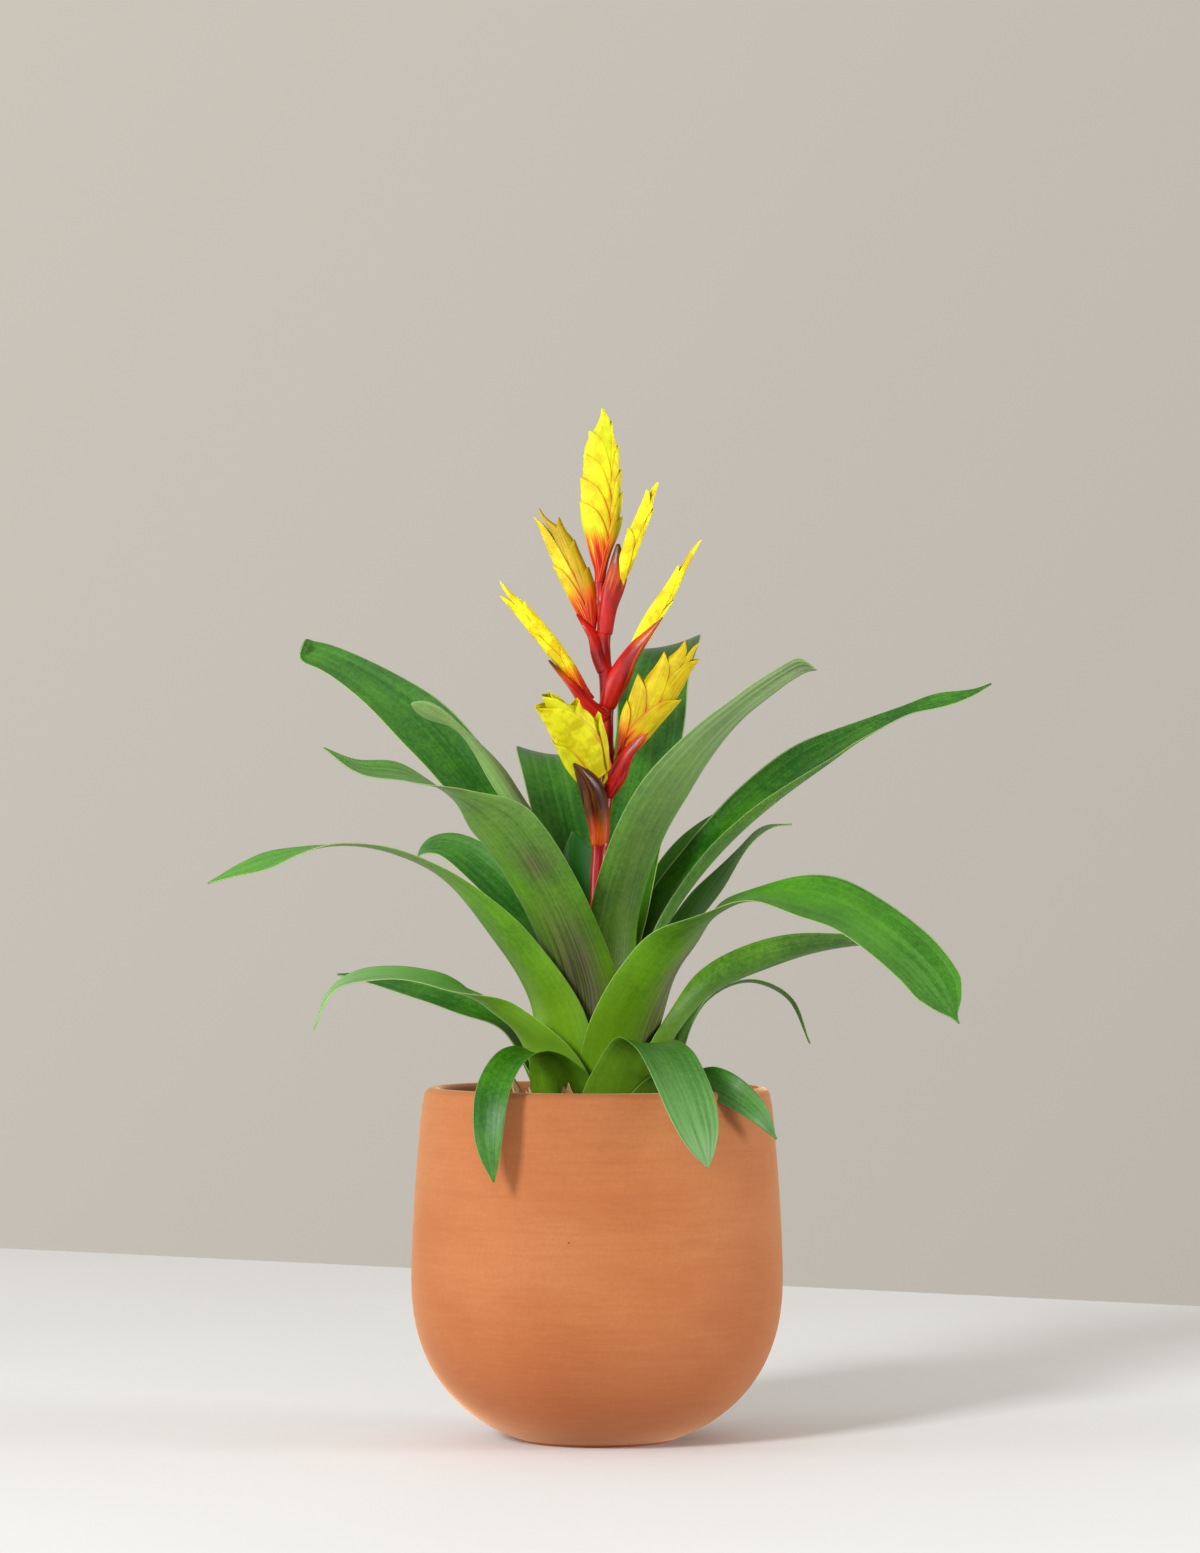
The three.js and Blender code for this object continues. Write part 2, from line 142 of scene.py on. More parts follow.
def grain(coordinates, scale, detail=3.0, roughness=0.5, stretch=(1.0, 1.0, 1.0)):
    """Soft noise, stretched along one direction where asked."""
    tree = coordinates.id_data
    placed = add_node(tree, "Mapping", {"Vector": coordinates, "Scale": stretch})
    made = add_node(
        tree, "TexNoise",
        {"Vector": placed.outputs[0], "Scale": scale, "Detail": detail, "Roughness": roughness},
    )
    return made.outputs["Fac"]


def attribute(tree, name):
    """A value that the mesh carries at each of its points."""
    return add_node(tree, "Attribute", attribute_name=name).outputs["Fac"]


def start_material(name):
    """A new material: its node tree, its main shader and its texture coordinates."""
    material = bpy.data.materials.new(name)
    material.use_nodes = True
    tree = material.node_tree
    return material, tree, tree.nodes["Principled BSDF"], add_node(tree, "TexCoord")


def finish_shader(shader, tint, **settings):
    """Joins the colour to the shader and sets its sockets, whose spaces are written as underscores."""
    shader.id_data.links.new(tint, shader.inputs["Base Color"])
    for key, value in settings.items():
        shader.inputs[key.replace("_", " ")].default_value = value


def relief(shader, height, depth, strength=1.0):
    """Turns a height pattern into bumps that are depth metres high."""
    made = add_node(shader.id_data, "Bump", {"Height": height, "Distance": depth, "Strength": strength})
    shader.id_data.links.new(made.outputs[0], shader.inputs["Normal"])


print("node helpers ready")

# %% [markdown]
# ## Light
# The studio has a lamp with a soft box low in front and to the left, which draws the soft shadow
# back and to the right. A weak panel low in front lights the foot of the pot, and two pale ones
# hardly above the table lift its edges. The rest comes from the pale room, so the
# world is a warm grey, which is also the wall behind the plant. It is a little brighter to the left
# and above, as the wall is, and darker on the side that the camera stands on. Colours are shown as
# they are, without a film curve, because the yellow would lose its strength in one.

# %% World and lights
WALL_COLOUR = (0.545, 0.503, 0.445, 1.0)
WALL_SLOPE = (-0.236, 0.0, 0.164)
ROOM_BEHIND_CAMERA = 0.62
LIGHTS = [
    dict(name="soft_box", place=(-2.25, -3.45, 1.95), size=0.85, power=172.0),
    dict(name="front_panel", place=(-0.70, -4.00, 0.85), size=1.2, power=16.0),
    dict(name="left_panel", place=(-1.80, -0.30, 0.30), size=0.7, power=13.0),
    dict(name="right_panel", place=(1.80, -0.45, 0.25), size=0.7, power=27.0),
]
LIGHT_TARGET = (0.0, 0.0, 0.15)
LIGHT_COLOUR = (0.98, 0.99, 1.0)

scene = bpy.context.scene
scene.view_settings.view_transform = "Standard"


def room():
    """The world: a pale wall whose brightness changes slowly with the direction."""
    made = bpy.data.worlds.new("room")
    made.use_nodes = True
    tree = made.node_tree
    direction = add_node(tree, "TexCoord").outputs["Generated"]
    slope = add_node(tree, "VectorMath", {0: direction, 1: WALL_SLOPE}, operation="DOT_PRODUCT")
    slope = sums("DIVIDE", slope.outputs["Value"], WALL_COLOUR[0])
    parts = add_node(tree, "SeparateXYZ", {0: direction})
    depth = ease(parts.outputs["Y"], -0.3, 0.9, ROOM_BEHIND_CAMERA, 1.0)
    strength = times(plus(slope, 1.0), depth)
    background = tree.nodes["Background"]
    background.inputs["Color"].default_value = WALL_COLOUR
    tree.links.new(strength, background.inputs["Strength"])
    return made


scene.world = room()


def area_light(name, place, size, power):
    """A square light that faces the plant."""
    data = bpy.data.lights.new(name, "AREA")
    data.shape = "SQUARE"
    data.size = size
    data.energy = power
    data.color = LIGHT_COLOUR
    light = bpy.data.objects.new(name, data)
    scene.collection.objects.link(light)
    light.location = place
    direction = Vector(LIGHT_TARGET) - Vector(place)
    light.rotation_euler = direction.to_track_quat("-Z", "Y").to_euler()


for light in LIGHTS:
    area_light(**light)

# %% [markdown]
# ## Table
# The plant stands on a whitish table top. Its far edge runs at a slant behind the pot, and the wall
# starts there. A large plane with one slanted edge is enough, because the world is the wall.

# %% Table top
TABLE_FAR_EDGE = ((-374.0, 1029.0), (322.0, 614.0))
TABLE_REACH = 6000.0
TABLE_DULL = (0.850, 0.865, 0.880, 1.0)
TABLE_BRIGHT = (0.875, 0.890, 0.905, 1.0)


def table_top():
    """A plane in front of the slanted far edge."""
    bpy.ops.object.select_all(action="DESELECT")
    bpy.ops.mesh.primitive_grid_add(x_subdivisions=2, y_subdivisions=2, size=1.0)
    made = bpy.context.object
    made.name = "table_top"
    left, right = [Vector((*point, 0.0)) for point in TABLE_FAR_EDGE]
    along = (right - left).normalized()
    nearer = Vector((along.y, -along.x, 0.0))
    middle = (left + right) / 2.0
    for vertex in made.data.vertices:
        sideways = 2.0 * vertex.co.x * TABLE_REACH
        forwards = (0.5 - vertex.co.y) * TABLE_REACH
        vertex.co = (middle + along * sideways + nearer * forwards) * MM
    return made


def table_material():
    material, _, shader, place = start_material("table_white")
    cloud = grain(place.outputs["Object"], 3.0, 2.0)
    speck = grain(place.outputs["Object"], 900.0, 2.0)
    finish_shader(shader, paint(TABLE_DULL, [(cloud, 0.3, 0.7, 1.0, TABLE_BRIGHT)]), Roughness=0.7)
    relief(shader, speck, 0.0001, 0.2)
    return material


table = table_top()
table.data.materials.append(table_material())
print("table top faces:", len(table.data.polygons))

# %% [markdown]
# ## Helpers for shapes
# Three ways of making a shape come back below. A turned or slightly bent rod is a circle that is
# extruded ring by ring, moved and scaled each time, as by hand. A leaf or a bract starts as a
# flat grid, and a rule puts each of its points in place, because no modifier bends, cups and
# narrows a sheet all at once. The sheet then gets its thickness and its roundness from modifiers.

# %% Shape helpers


def lerp(first, second, share):
    return first + (second - first) * share


def smooth_step(value, start, end):
    share = min(1.0, max(0.0, (value - start) / (end - start)))
    return share * share * (3.0 - 2.0 * share)


def smooth_path(points, steps=24):
    """A smooth curve through points of three or more numbers. Returns a function of the share of
    its length that gives the point there, and the length. Numbers past the third ride along."""
    knots = np.array(points, float)
    knots = np.vstack([2 * knots[0] - knots[1], knots, 2 * knots[-1] - knots[-2]])
    traced = []
    for one, two, three, four in zip(knots, knots[1:], knots[2:], knots[3:]):
        first = max(1e-4, np.linalg.norm((two - one)[:3])) ** 0.5
        middle = max(1e-4, np.linalg.norm((three - two)[:3])) ** 0.5
        last = max(1e-4, np.linalg.norm((four - three)[:3])) ** 0.5
        leave = (two - one) / first - (three - one) / (first + middle) + (three - two) / middle
        arrive = (three - two) / middle - (four - two) / (middle + last) + (four - three) / last
        leave, arrive = leave * middle, arrive * middle
        for step in range(steps):
            t = step / steps
            traced.append(
                two * (2 * t**3 - 3 * t**2 + 1) + leave * (t**3 - 2 * t**2 + t)
                + three * (3 * t**2 - 2 * t**3) + arrive * (t**3 - t**2)
            )
    traced.append(knots[-2])
    traced = np.array(traced)
    gaps = np.linalg.norm(np.diff(traced[:, :3], axis=0), axis=1)
    reached = np.concatenate([[0.0], np.cumsum(gaps)])

    def at(share):
        wanted = min(1.0, max(0.0, share)) * reached[-1]
        return np.array([np.interp(wanted, reached, traced[:, part]) for part in range(traced.shape[1])])

    return at, float(reached[-1])


def tangent(at, share):
    """The direction of a smooth path at a share of its length."""
    ahead, behind = at(min(1.0, share + 0.004)), at(max(0.0, share - 0.004))
    return Vector((ahead - behind)[:3]).normalized()


def new_sheet(name, across, along, place, values=None):
    """A grid whose points go where place(u, v) says, in millimetres, with u across and v along it.
    values(u, v) gives numbers that the points carry for the material, by name."""
    bpy.ops.object.select_all(action="DESELECT")
    bpy.ops.mesh.primitive_grid_add(x_subdivisions=across, y_subdivisions=along, size=1.0)
    sheet = bpy.context.object
    sheet.name = name
    spots = [(vertex.co.x + 0.5, vertex.co.y + 0.5) for vertex in sheet.data.vertices]
    if values:
        carried = [values(u, v) for u, v in spots]
        for key in carried[0]:
            layer = sheet.data.attributes.new(key, "FLOAT", "POINT")
            layer.data.foreach_set("value", [numbers[key] for numbers in carried])
    for vertex, (u, v) in zip(sheet.data.vertices, spots):
        vertex.co = Vector(place(u, v)) * MM
    return sheet


def apply_modifier(piece, kind, **settings):
    """Adds a modifier and applies it at once."""
    modifier = piece.modifiers.new(kind.lower(), kind)
    for key, value in settings.items():
        setattr(modifier, key, value)
    bpy.ops.object.select_all(action="DESELECT")
    piece.select_set(True)
    bpy.context.view_layer.objects.active = piece
    bpy.ops.object.modifier_apply(modifier=modifier.name)


def thicken(sheet, thickness, thin_edge=None, inside_material=0, smooth=True):
    """Gives a sheet its thickness, thinner towards its edges where asked, and rounds it off."""
    settings = {"thickness": thickness * MM, "offset": 0.0, "material_offset": inside_material}
    if thin_edge:
        settings.update(vertex_group="flesh", thickness_vertex_group=thin_edge)
    apply_modifier(sheet, "SOLIDIFY", **settings)
    if smooth:
        apply_modifier(sheet, "SUBSURF", levels=1, render_levels=1)
    bpy.ops.object.shade_smooth()


def join(name, parts):
    """One object from several."""
    bpy.ops.object.select_all(action="DESELECT")
    for part in parts:
        part.select_set(True)
    bpy.context.view_layer.objects.active = parts[0]
    bpy.ops.object.join()
    parts[0].name = name
    return parts[0]


def finish_piece(piece, slot, *nodes):
    """Puts a piece on the root and hides the nodes that it stands for; its slot is not used."""
    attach(piece, "root")
    if nodes:
        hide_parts(*nodes)


print("shape helpers ready")

# %% [markdown]
# ## Pot
# The pot is thrown on a wheel: a round belly, a shoulder that closes a little and a plain rounded
# lip. A potter pulls the wall up ring by ring, and the mesh is made the same way. A circle the
# size of the foot is extruded, moved up and scaled again and again, up the outside, over the lip
# and down the inside. Tiny changes of radius stand for the marks that fingers leave.

# %% Pot sizes and wall
POT_HEIGHT = 142.0
POT_WIDTH = 150.0
POT_NECK_WIDTH = 140.0
POT_WIDEST_HEIGHT = 66.0
POT_BELLY_DEPTH = 69.5
POT_BELLY_SQUARENESS = 2.3
POT_WALL = 8.0
POT_FLOOR = 9.0
POT_FOOT_WIDTH = 62.0
POT_SIDES = 144
THROWING_MARK = 0.05
FOOT_RINGS = [(12.0, 0.35), (24.0, 0.25), (29.0, 0.0)]
LOW_RING_HEIGHTS = [0.6, 1.5, 2.6, 4.0, 5.6, 7.5, 9.8, 12.5]
EVEN_RINGS_FROM = 15.5
EVEN_RING_STEP = 2.9
LIP_START = 137.0
LIP_STEPS = 12
INSIDE_RING_HEIGHTS = [134.0, 128.0, 120.0, 110.0, 96.0, 80.0, 64.0, 48.0, 36.0, 26.0, 18.0, 13.0]


def pot_radius(height):
    """Radius of the outside at a height: a rounded belly below and a slow taper above."""
    if height < POT_WIDEST_HEIGHT:
        drop = (POT_WIDEST_HEIGHT - height) / POT_BELLY_DEPTH
        rest = 1.0 - drop**POT_BELLY_SQUARENESS
        return POT_WIDTH / 2 * rest ** (1 / POT_BELLY_SQUARENESS)
    rise = (height - POT_WIDEST_HEIGHT) / (POT_HEIGHT - POT_WIDEST_HEIGHT)
    return lerp(POT_WIDTH / 2, POT_NECK_WIDTH / 2, rise**1.6)


def thrown(radius, height):
    """The radius with the faint rings of the wheel."""
    ring = math.sin(height * 0.9) + 0.6 * math.sin(height * 1.7 + 1.0) + 0.5 * math.sin(height * 0.31)
    return radius + THROWING_MARK * 0.5 * ring


def pot_profile():
    """Radius and height of each ring, from the middle of the foot to the middle of the floor."""
    rings = FOOT_RINGS + [(POT_FOOT_WIDTH / 2 - 0.3, 0.0)]
    heights = LOW_RING_HEIGHTS + [EVEN_RINGS_FROM + EVEN_RING_STEP * step for step in range(42)]
    rings += [(thrown(pot_radius(height), height), height) for height in heights if height < LIP_START]
    lip = POT_WALL / 2
    for step in range(LIP_STEPS + 1):
        angle = math.pi * step / LIP_STEPS
        ring_radius = POT_NECK_WIDTH / 2 - lip + lip * math.cos(angle)
        rings.append((ring_radius, POT_HEIGHT - lip + lip * math.sin(angle)))
    rings += [(pot_radius(height) - POT_WALL, height) for height in INSIDE_RING_HEIGHTS]
    return rings + [(radius, POT_FLOOR) for radius in (40.0, 24.0, 8.0)]


def ring_stack(name, sides, rings):
    """A circle that is extruded from ring to ring and closed at both ends. A ring is its radius,
    its height and, where it isn't on the axis, its x and y."""
    rings = [tuple(ring) + (0.0,) * (4 - len(ring)) for ring in rings]
    radius, height, x, y = rings[0]
    bpy.ops.object.select_all(action="DESELECT")
    bpy.ops.mesh.primitive_circle_add(
        vertices=sides, radius=radius * MM, location=(x * MM, y * MM, height * MM),
    )
    made = bpy.context.object
    made.name = name
    bpy.ops.object.mode_set(mode="EDIT")
    bpy.ops.mesh.select_all(action="SELECT")
    for (radius, height, x, y), (wider, higher, right, back) in zip(rings, rings[1:]):
        step = Vector((right - x, back - y, higher - height)) * MM
        bpy.ops.mesh.extrude_edges_move(TRANSFORM_OT_translate={"value": step})
        scale = wider / radius
        bpy.ops.transform.resize(value=(scale, scale, 1.0))
    bpy.ops.mesh.select_all(action="DESELECT")
    bpy.ops.mesh.select_mode(type="EDGE")
    bpy.ops.mesh.select_non_manifold()
    bpy.ops.mesh.edge_face_add()
    bpy.ops.mesh.select_all(action="SELECT")
    bpy.ops.mesh.normals_make_consistent(inside=False)
    bpy.ops.object.mode_set(mode="OBJECT")
    bpy.ops.object.transform_apply(location=True, rotation=True, scale=True)
    return made


print("pot rings:", len(pot_profile()))

# %% [markdown]
# ## Terracotta
# The clay is matt and never one colour. It is paler where it dried in the light, with fine level lines
# from the wheel, a few dark pits and pale specks, and it is painted darker and redder towards the
# foot as shade under the belly. Noise that is stretched round the pot makes the lines, and small
# cells with a tight ramp make the pits. Fired clay is dusty, so its edges look a little lighter than
# its middle, and sheen gives that.

# %% Terracotta material
CLAY = palette(
    pale=(176, 114, 69), middle=(162, 94, 52), deep=(142, 70, 34), dust=(192, 130, 86),
    pit=(96, 52, 34), fleck=(238, 214, 190),
)


def flecks(where, scale, channel, chosen, edge):
    """Small dots in a few cells. Chosen is where the cells' lottery is won, edge where a dot ends."""
    cells = add_node(where.id_data, "TexVoronoi", {"Vector": where, "Scale": scale, "Randomness": 1.0})
    lottery = add_node(where.id_data, "SeparateColor", {0: cells.outputs["Color"]}).outputs[channel]
    return times(ease(lottery, *chosen), ease(cells.outputs["Distance"], *edge))


def terracotta_material():
    material, tree, shader, place = start_material("terracotta")
    where = place.outputs["Object"]
    height = add_node(tree, "SeparateXYZ", {0: where}).outputs["Z"]
    lines = grain(where, 14.0, 5.0, 0.65, (1.0, 1.0, 22.0))
    clouds = grain(where, 16.0, 3.0, 0.55, (1.0, 1.0, 1.6))
    strokes = grain(where, 90.0, 4.0, 0.6, (1.0, 1.0, 14.0))
    fine = grain(where, 700.0, 4.0, 0.6)
    tint = blend(ease(clouds, 0.3, 0.7, 0.15, 0.7), CLAY["middle"], CLAY["pale"])
    # The deep colour that grows towards the foot is painted shade under the belly.
    tint = paint(tint, [
        (lines, 0.42, 0.70, 0.16, CLAY["deep"]), (height, 0.075, 0.0, 0.55, CLAY["deep"]),
        (strokes, 0.50, 0.66, 0.10, CLAY["deep"]), (strokes, 0.48, 0.34, 0.08, CLAY["dust"]),
        (fine, 0.35, 0.65, 0.14, CLAY["deep"]),
    ])
    pits = flecks(where, 95.0, 0, (0.93, 0.95), (0.075, 0.045))
    pale_flecks = flecks(where, 70.0, 1, (0.955, 0.965), (0.05, 0.03))
    tint = blend(pale_flecks, blend(pits, tint, CLAY["pit"]), CLAY["fleck"])
    finish_shader(
        shader, tint, Roughness=0.82, Specular_IOR_Level=0.25,
        Sheen_Weight=0.7, Sheen_Roughness=0.35, Sheen_Tint=(1.0, 0.60, 0.34, 1.0),
    )
    bumps = plus(times(strokes, 0.3), times(fine, 0.35))
    relief(shader, sums("SUBTRACT", bumps, times(pits, 1.2)), 0.0002, 0.55)
    return material


pot = ring_stack("thrown_pot", POT_SIDES, pot_profile())
pot.data.materials.append(terracotta_material())
bpy.ops.object.shade_smooth_by_angle(angle=math.radians(50.0))
finish_piece(pot, "terracotta", "pot")
print("pot faces:", len(pot.data.polygons))

# %% [markdown]
# ## Potting mix
# The mix is bark, fibre and dust, pressed down around the crown. Its body is a stack of rings like
# the pot's, with a finely divided top that noise lifts and dents. Chips of bark and grains of pale
# stone lie on it. One chip is modelled and copied, each copy turned, sized and joined.

# %% Body of the mix
SOIL_HEIGHT = 131.0
SOIL_GAP = 0.6
CROWN_RADIUS = 31.6
SOIL_HOLE_RADIUS = CROWN_RADIUS + 0.3
SOIL_LUMP = 1.3
SOIL_FLOOR = POT_FLOOR + 0.4
SOIL_SIDE_HEIGHTS = [24.0, 44.0, 70.0, 104.0, 126.0, 129.6]
SOIL_TOP_RINGS = 16
SOIL_HOLE_FLOOR = 112.2


def soil_profile():
    """Radius and height of each ring: the floor, the side, the top and the hole for the stem."""
    rings = [(radius, SOIL_FLOOR) for radius in (8.0, 24.0, 39.5)]
    rings += [(pot_radius(height) - POT_WALL - SOIL_GAP, height) for height in SOIL_SIDE_HEIGHTS]
    outer = pot_radius(SOIL_HEIGHT) - POT_WALL - SOIL_GAP
    for step in range(SOIL_TOP_RINGS + 1):
        radius = lerp(outer - 0.4, SOIL_HOLE_RADIUS, step / SOIL_TOP_RINGS)
        rings.append((radius, SOIL_HEIGHT + 0.6 * math.sin(step / 4)))
    hole = [(SOIL_HOLE_RADIUS, 122.0), (SOIL_HOLE_RADIUS, SOIL_HOLE_FLOOR), (12.0, SOIL_HOLE_FLOOR)]
    return rings + hole


def roughen_soil(mix):
    """Lifts and dents the top of the mix."""
    for vertex in mix.data.vertices:
        radius = math.hypot(vertex.co.x, vertex.co.y) / MM
        if vertex.co.z < 130.0 * MM or radius < SOIL_HOLE_RADIUS + 0.5:
            continue
        lump = noise.fractal(vertex.co * 160.0, 0.9, 2.2, 4)
        vertex.co.z += SOIL_LUMP * lump * MM


soil = ring_stack("mix_body", 120, soil_profile())
roughen_soil(soil)
print("mix faces:", len(soil.data.polygons))

# %% Chips and grains
CHIP_COUNT = 420
CHIP_SEED = 11
CHIP_SIZES = (1.6, 5.2)
CHIP_TILT = 0.35
CHIP_UNEVENNESS = 0.16
PALE_SHARE = 0.07
PALE_SIZES = (1.0, 2.0)


def chip_master():
    """One splinter of bark: a box with bevelled edges and an uneven top."""
    bpy.ops.object.select_all(action="DESELECT")
    bpy.ops.mesh.primitive_cube_add(size=1.0)
    chip = bpy.context.object
    chip.name = "bark_chip"
    bpy.ops.object.mode_set(mode="EDIT")
    bpy.ops.mesh.select_all(action="SELECT")
    bpy.ops.transform.resize(value=(1.0, 0.5, 0.24))
    bpy.ops.mesh.bevel(offset=0.07, segments=1)
    bpy.ops.object.mode_set(mode="OBJECT")
    noise.seed_set(CHIP_SEED)
    for vertex in chip.data.vertices:
        vertex.co += CHIP_UNEVENNESS * noise.noise_vector(vertex.co * 3.0 + Vector((5.0, 1.0, 2.0)))
    return chip


def scatter_chips(master):
    """Copies of the chip on the ring between the crown and the pot."""
    dice = random.Random(CHIP_SEED)
    outer = pot_radius(SOIL_HEIGHT) - POT_WALL - 3.0
    chips = []
    for number in range(CHIP_COUNT):
        radius = math.sqrt(dice.uniform((CROWN_RADIUS + 2.5) ** 2, outer**2))
        heading = dice.uniform(0.0, 2 * math.pi)
        pale = number < CHIP_COUNT * PALE_SHARE
        size = dice.uniform(*PALE_SIZES) if pale else dice.uniform(*CHIP_SIZES) * dice.uniform(0.6, 1.0)
        chip = master.copy()
        chip.data = master.data.copy()
        scene.collection.objects.link(chip)
        chip.location = Vector((
            radius * math.cos(heading), radius * math.sin(heading), SOIL_HEIGHT + 0.9 + 0.16 * size,
        )) * MM
        tilt = [dice.gauss(0.0, CHIP_TILT) for _ in range(2)]
        chip.rotation_euler = (*tilt, dice.uniform(0.0, 6.28))
        flat = (1.0, 1.2, 2.6) if pale else (1.0, dice.uniform(0.5, 1.1), dice.uniform(0.8, 1.6))
        chip.scale = [size * part * MM for part in flat]
        layer = chip.data.attributes.new("shade", "FLOAT", "POINT")
        shade = 2.0 if pale else dice.random()
        layer.data.foreach_set("value", [shade] * len(chip.data.vertices))
        chips.append(chip)
    return chips


master = chip_master()
chips = scatter_chips(master)
bpy.data.objects.remove(master)
print("chips:", len(chips))

# %% [markdown]
# ## Fibres and dry sheaths
# Strands of coir stand out of the mix, and round the foot of the plant the ends of old leaves have
# dried to brown paper. A strand is a thin three-sided tube along a smooth path. A dry sheath is a
# short sheet with a torn edge that leans against the crown.

# %% Strands and papery ends
STRAND_COUNT = 46
STRAND_SEED = 4
STRAND_TURN = 1.6
STRAND_REACH = (5.0, 13.0)
STRAND_ARCH = (1.0, 4.5)
STRAND_RADIUS = (0.16, 0.3)
DRY_SHEATH_HEADINGS = (222, 236, 250, 338, 352, 20, 58, 110, 150, 190)
DRY_SHEATH_WIDTH = (13.0, 20.0)
DRY_SHEATH_HEIGHT = (8.0, 15.0)
DRY_SHEATH_LEAN = (0.15, 0.5)


def strand(dice):
    """One fibre that arches out of the mix and back."""
    radius = dice.uniform(CROWN_RADIUS + 3.0, pot_radius(SOIL_HEIGHT) - POT_WALL - 6.0)
    heading = dice.uniform(0.0, 2 * math.pi)
    turn = heading + dice.uniform(-STRAND_TURN, STRAND_TURN)
    reach = dice.uniform(*STRAND_REACH)
    start = np.array([radius * math.cos(heading), radius * math.sin(heading), SOIL_HEIGHT + 0.2])
    step = np.array([math.cos(turn), math.sin(turn), 0.0]) * reach
    middle = start + step * 0.5 + np.array([0.0, 0.0, dice.uniform(*STRAND_ARCH)])
    end = start + step
    limit = pot_radius(SOIL_HEIGHT) - POT_WALL - 2.0
    if math.hypot(end[0], end[1]) > limit:
        end[:2] *= limit / math.hypot(end[0], end[1])
    at, _ = smooth_path([start, middle, end + np.array([0.0, 0.0, dice.uniform(0.3, 2.0)])], 6)
    thick = dice.uniform(*STRAND_RADIUS)

    def place(u, v):
        around = 2 * math.pi * u
        middle_point = Vector(at(v))
        along = tangent(at, v)
        right = along.cross(Vector((0.0, 0.0, 1.0))).normalized()
        upward = right.cross(along)
        return middle_point + thick * (right * math.cos(around) + upward * math.sin(around))

    shade = dice.uniform(0.55, 1.0)
    return new_sheet("strand", 3, 6, place, lambda u, v: {"shade": shade})


def dry_sheath(number, heading):
    """The torn end of an old leaf, leaning on the crown."""
    dice = random.Random(100 + number)
    width = dice.uniform(*DRY_SHEATH_WIDTH)
    height = dice.uniform(*DRY_SHEATH_HEIGHT)
    lean = dice.uniform(*DRY_SHEATH_LEAN)
    foot = CROWN_RADIUS + dice.uniform(1.2, 2.6)
    middle = math.radians(heading + dice.uniform(-8.0, 8.0))

    def place(u, v):
        ragged = 1.0 + 0.55 * noise.noise(Vector((u * 5.0, number * 7.3, 0.0)))
        rise = height * v * ragged * (1.0 - 0.5 * abs(2 * u - 1.0) ** 2)
        narrow = 1.0 - 0.45 * v
        angle = middle + (u - 0.5) * width * narrow / foot
        crinkle = 0.9 * v * noise.noise(Vector((u * 4.0, v * 3.0, number * 3.1)))
        radius = foot + lean * rise + crinkle + 1.4 * v * v
        return (radius * math.cos(angle), radius * math.sin(angle), SOIL_HEIGHT - 1.0 + rise)

    shade = dice.uniform(0.7, 1.0)
    sheet = new_sheet("dry_sheath", 12, 8, place, lambda u, v: {"shade": shade + 0.4 * v})
    thicken(sheet, 0.35, smooth=False)
    return sheet


strand_dice = random.Random(STRAND_SEED)
strands = [strand(strand_dice) for _ in range(STRAND_COUNT)]
dry_sheaths = [dry_sheath(number, heading) for number, heading in enumerate(DRY_SHEATH_HEADINGS)]
print("strands and dry sheaths:", len(strands), len(dry_sheaths))

# %% Colours of the mix
MIX = palette(
    dark=(44, 31, 24), warm=(92, 62, 42), bark=(150, 112, 76), straw=(186, 150, 104),
    stone=(214, 208, 196),
)


def mix_material():
    material, tree, shader, place = start_material("potting_mix")
    where = place.outputs["Object"]
    shade = attribute(tree, "shade")
    crumbs = grain(where, 420.0, 5.0, 0.7)
    streaks = grain(where, 260.0, 4.0, 0.6, (1.0, 4.0, 1.0))
    bark = paint(MIX["warm"], [
        (streaks, 0.35, 0.7, 1.0, MIX["bark"]), (shade, 0.6, 1.1, 1.0, MIX["straw"]),
    ])
    tint = paint(MIX["dark"], [
        (crumbs, 0.35, 0.65, 1.0, MIX["warm"]), (shade, 0.1, 0.75, 1.0, bark),
        (shade, 1.6, 1.9, 1.0, MIX["stone"]),
    ])
    finish_shader(shader, tint, Roughness=0.9, Specular_IOR_Level=0.25)
    relief(shader, crumbs, 0.0008, 0.8)
    return material


potting_mix = mix_material()
soil = join("potting_mix_top", [soil] + chips + strands)
bpy.ops.object.transform_apply(location=True, rotation=True, scale=True)
soil.data.materials.clear()
soil.data.materials.append(potting_mix)
for face in soil.data.polygons:
    face.material_index = 0
finish_piece(soil, "potting_mix", "soil")
papers = join("dry_sheaths", dry_sheaths)
papers.data.materials.append(potting_mix)
bpy.ops.object.shade_smooth()
finish_piece(papers, "potting_mix")
print("mix and paper faces:", len(soil.data.polygons), len(papers.data.polygons))

# %% [markdown]
# ## Leaves
# A leaf starts as a broad sheath that hugs the middle of the rosette, and goes over into a blade
# that is cupped like a gutter, turns on itself and ends in a short hooked tip. The grid of each
# leaf follows its midrib, and a vertex group makes the margin thinner than the middle. The numbers
# are those of the solid leaves, so every blade lies where its node is. Each leaf also carries the
# purple stain, the pale bloom, which is partly a painted whitish sheen, and its depth, a painted
# shade that darkens leaves lying in the shade of the rosette.

# %% Leaf table
LEAF_THICKNESS = 0.9
LEAF_EDGE_SHARE = 0.45
SHEATH_WIDTH = 36.0
SHEATH_WRAP = math.radians(64.0)
INNERMOST_FOOT = 4.6
FOOT_STEP = 1.15
INNERMOST_RISE = 26.0
RISE_STEP = -0.6
INNERMOST_LEAN = 0.08
LEAN_STEP = 0.022
CONE_TOP = 156.0
CONE_FALL = 0.75
TIP_WIDTH = 0.9
LEAF_ALONG = 56
LEAF_ACROSS = 12
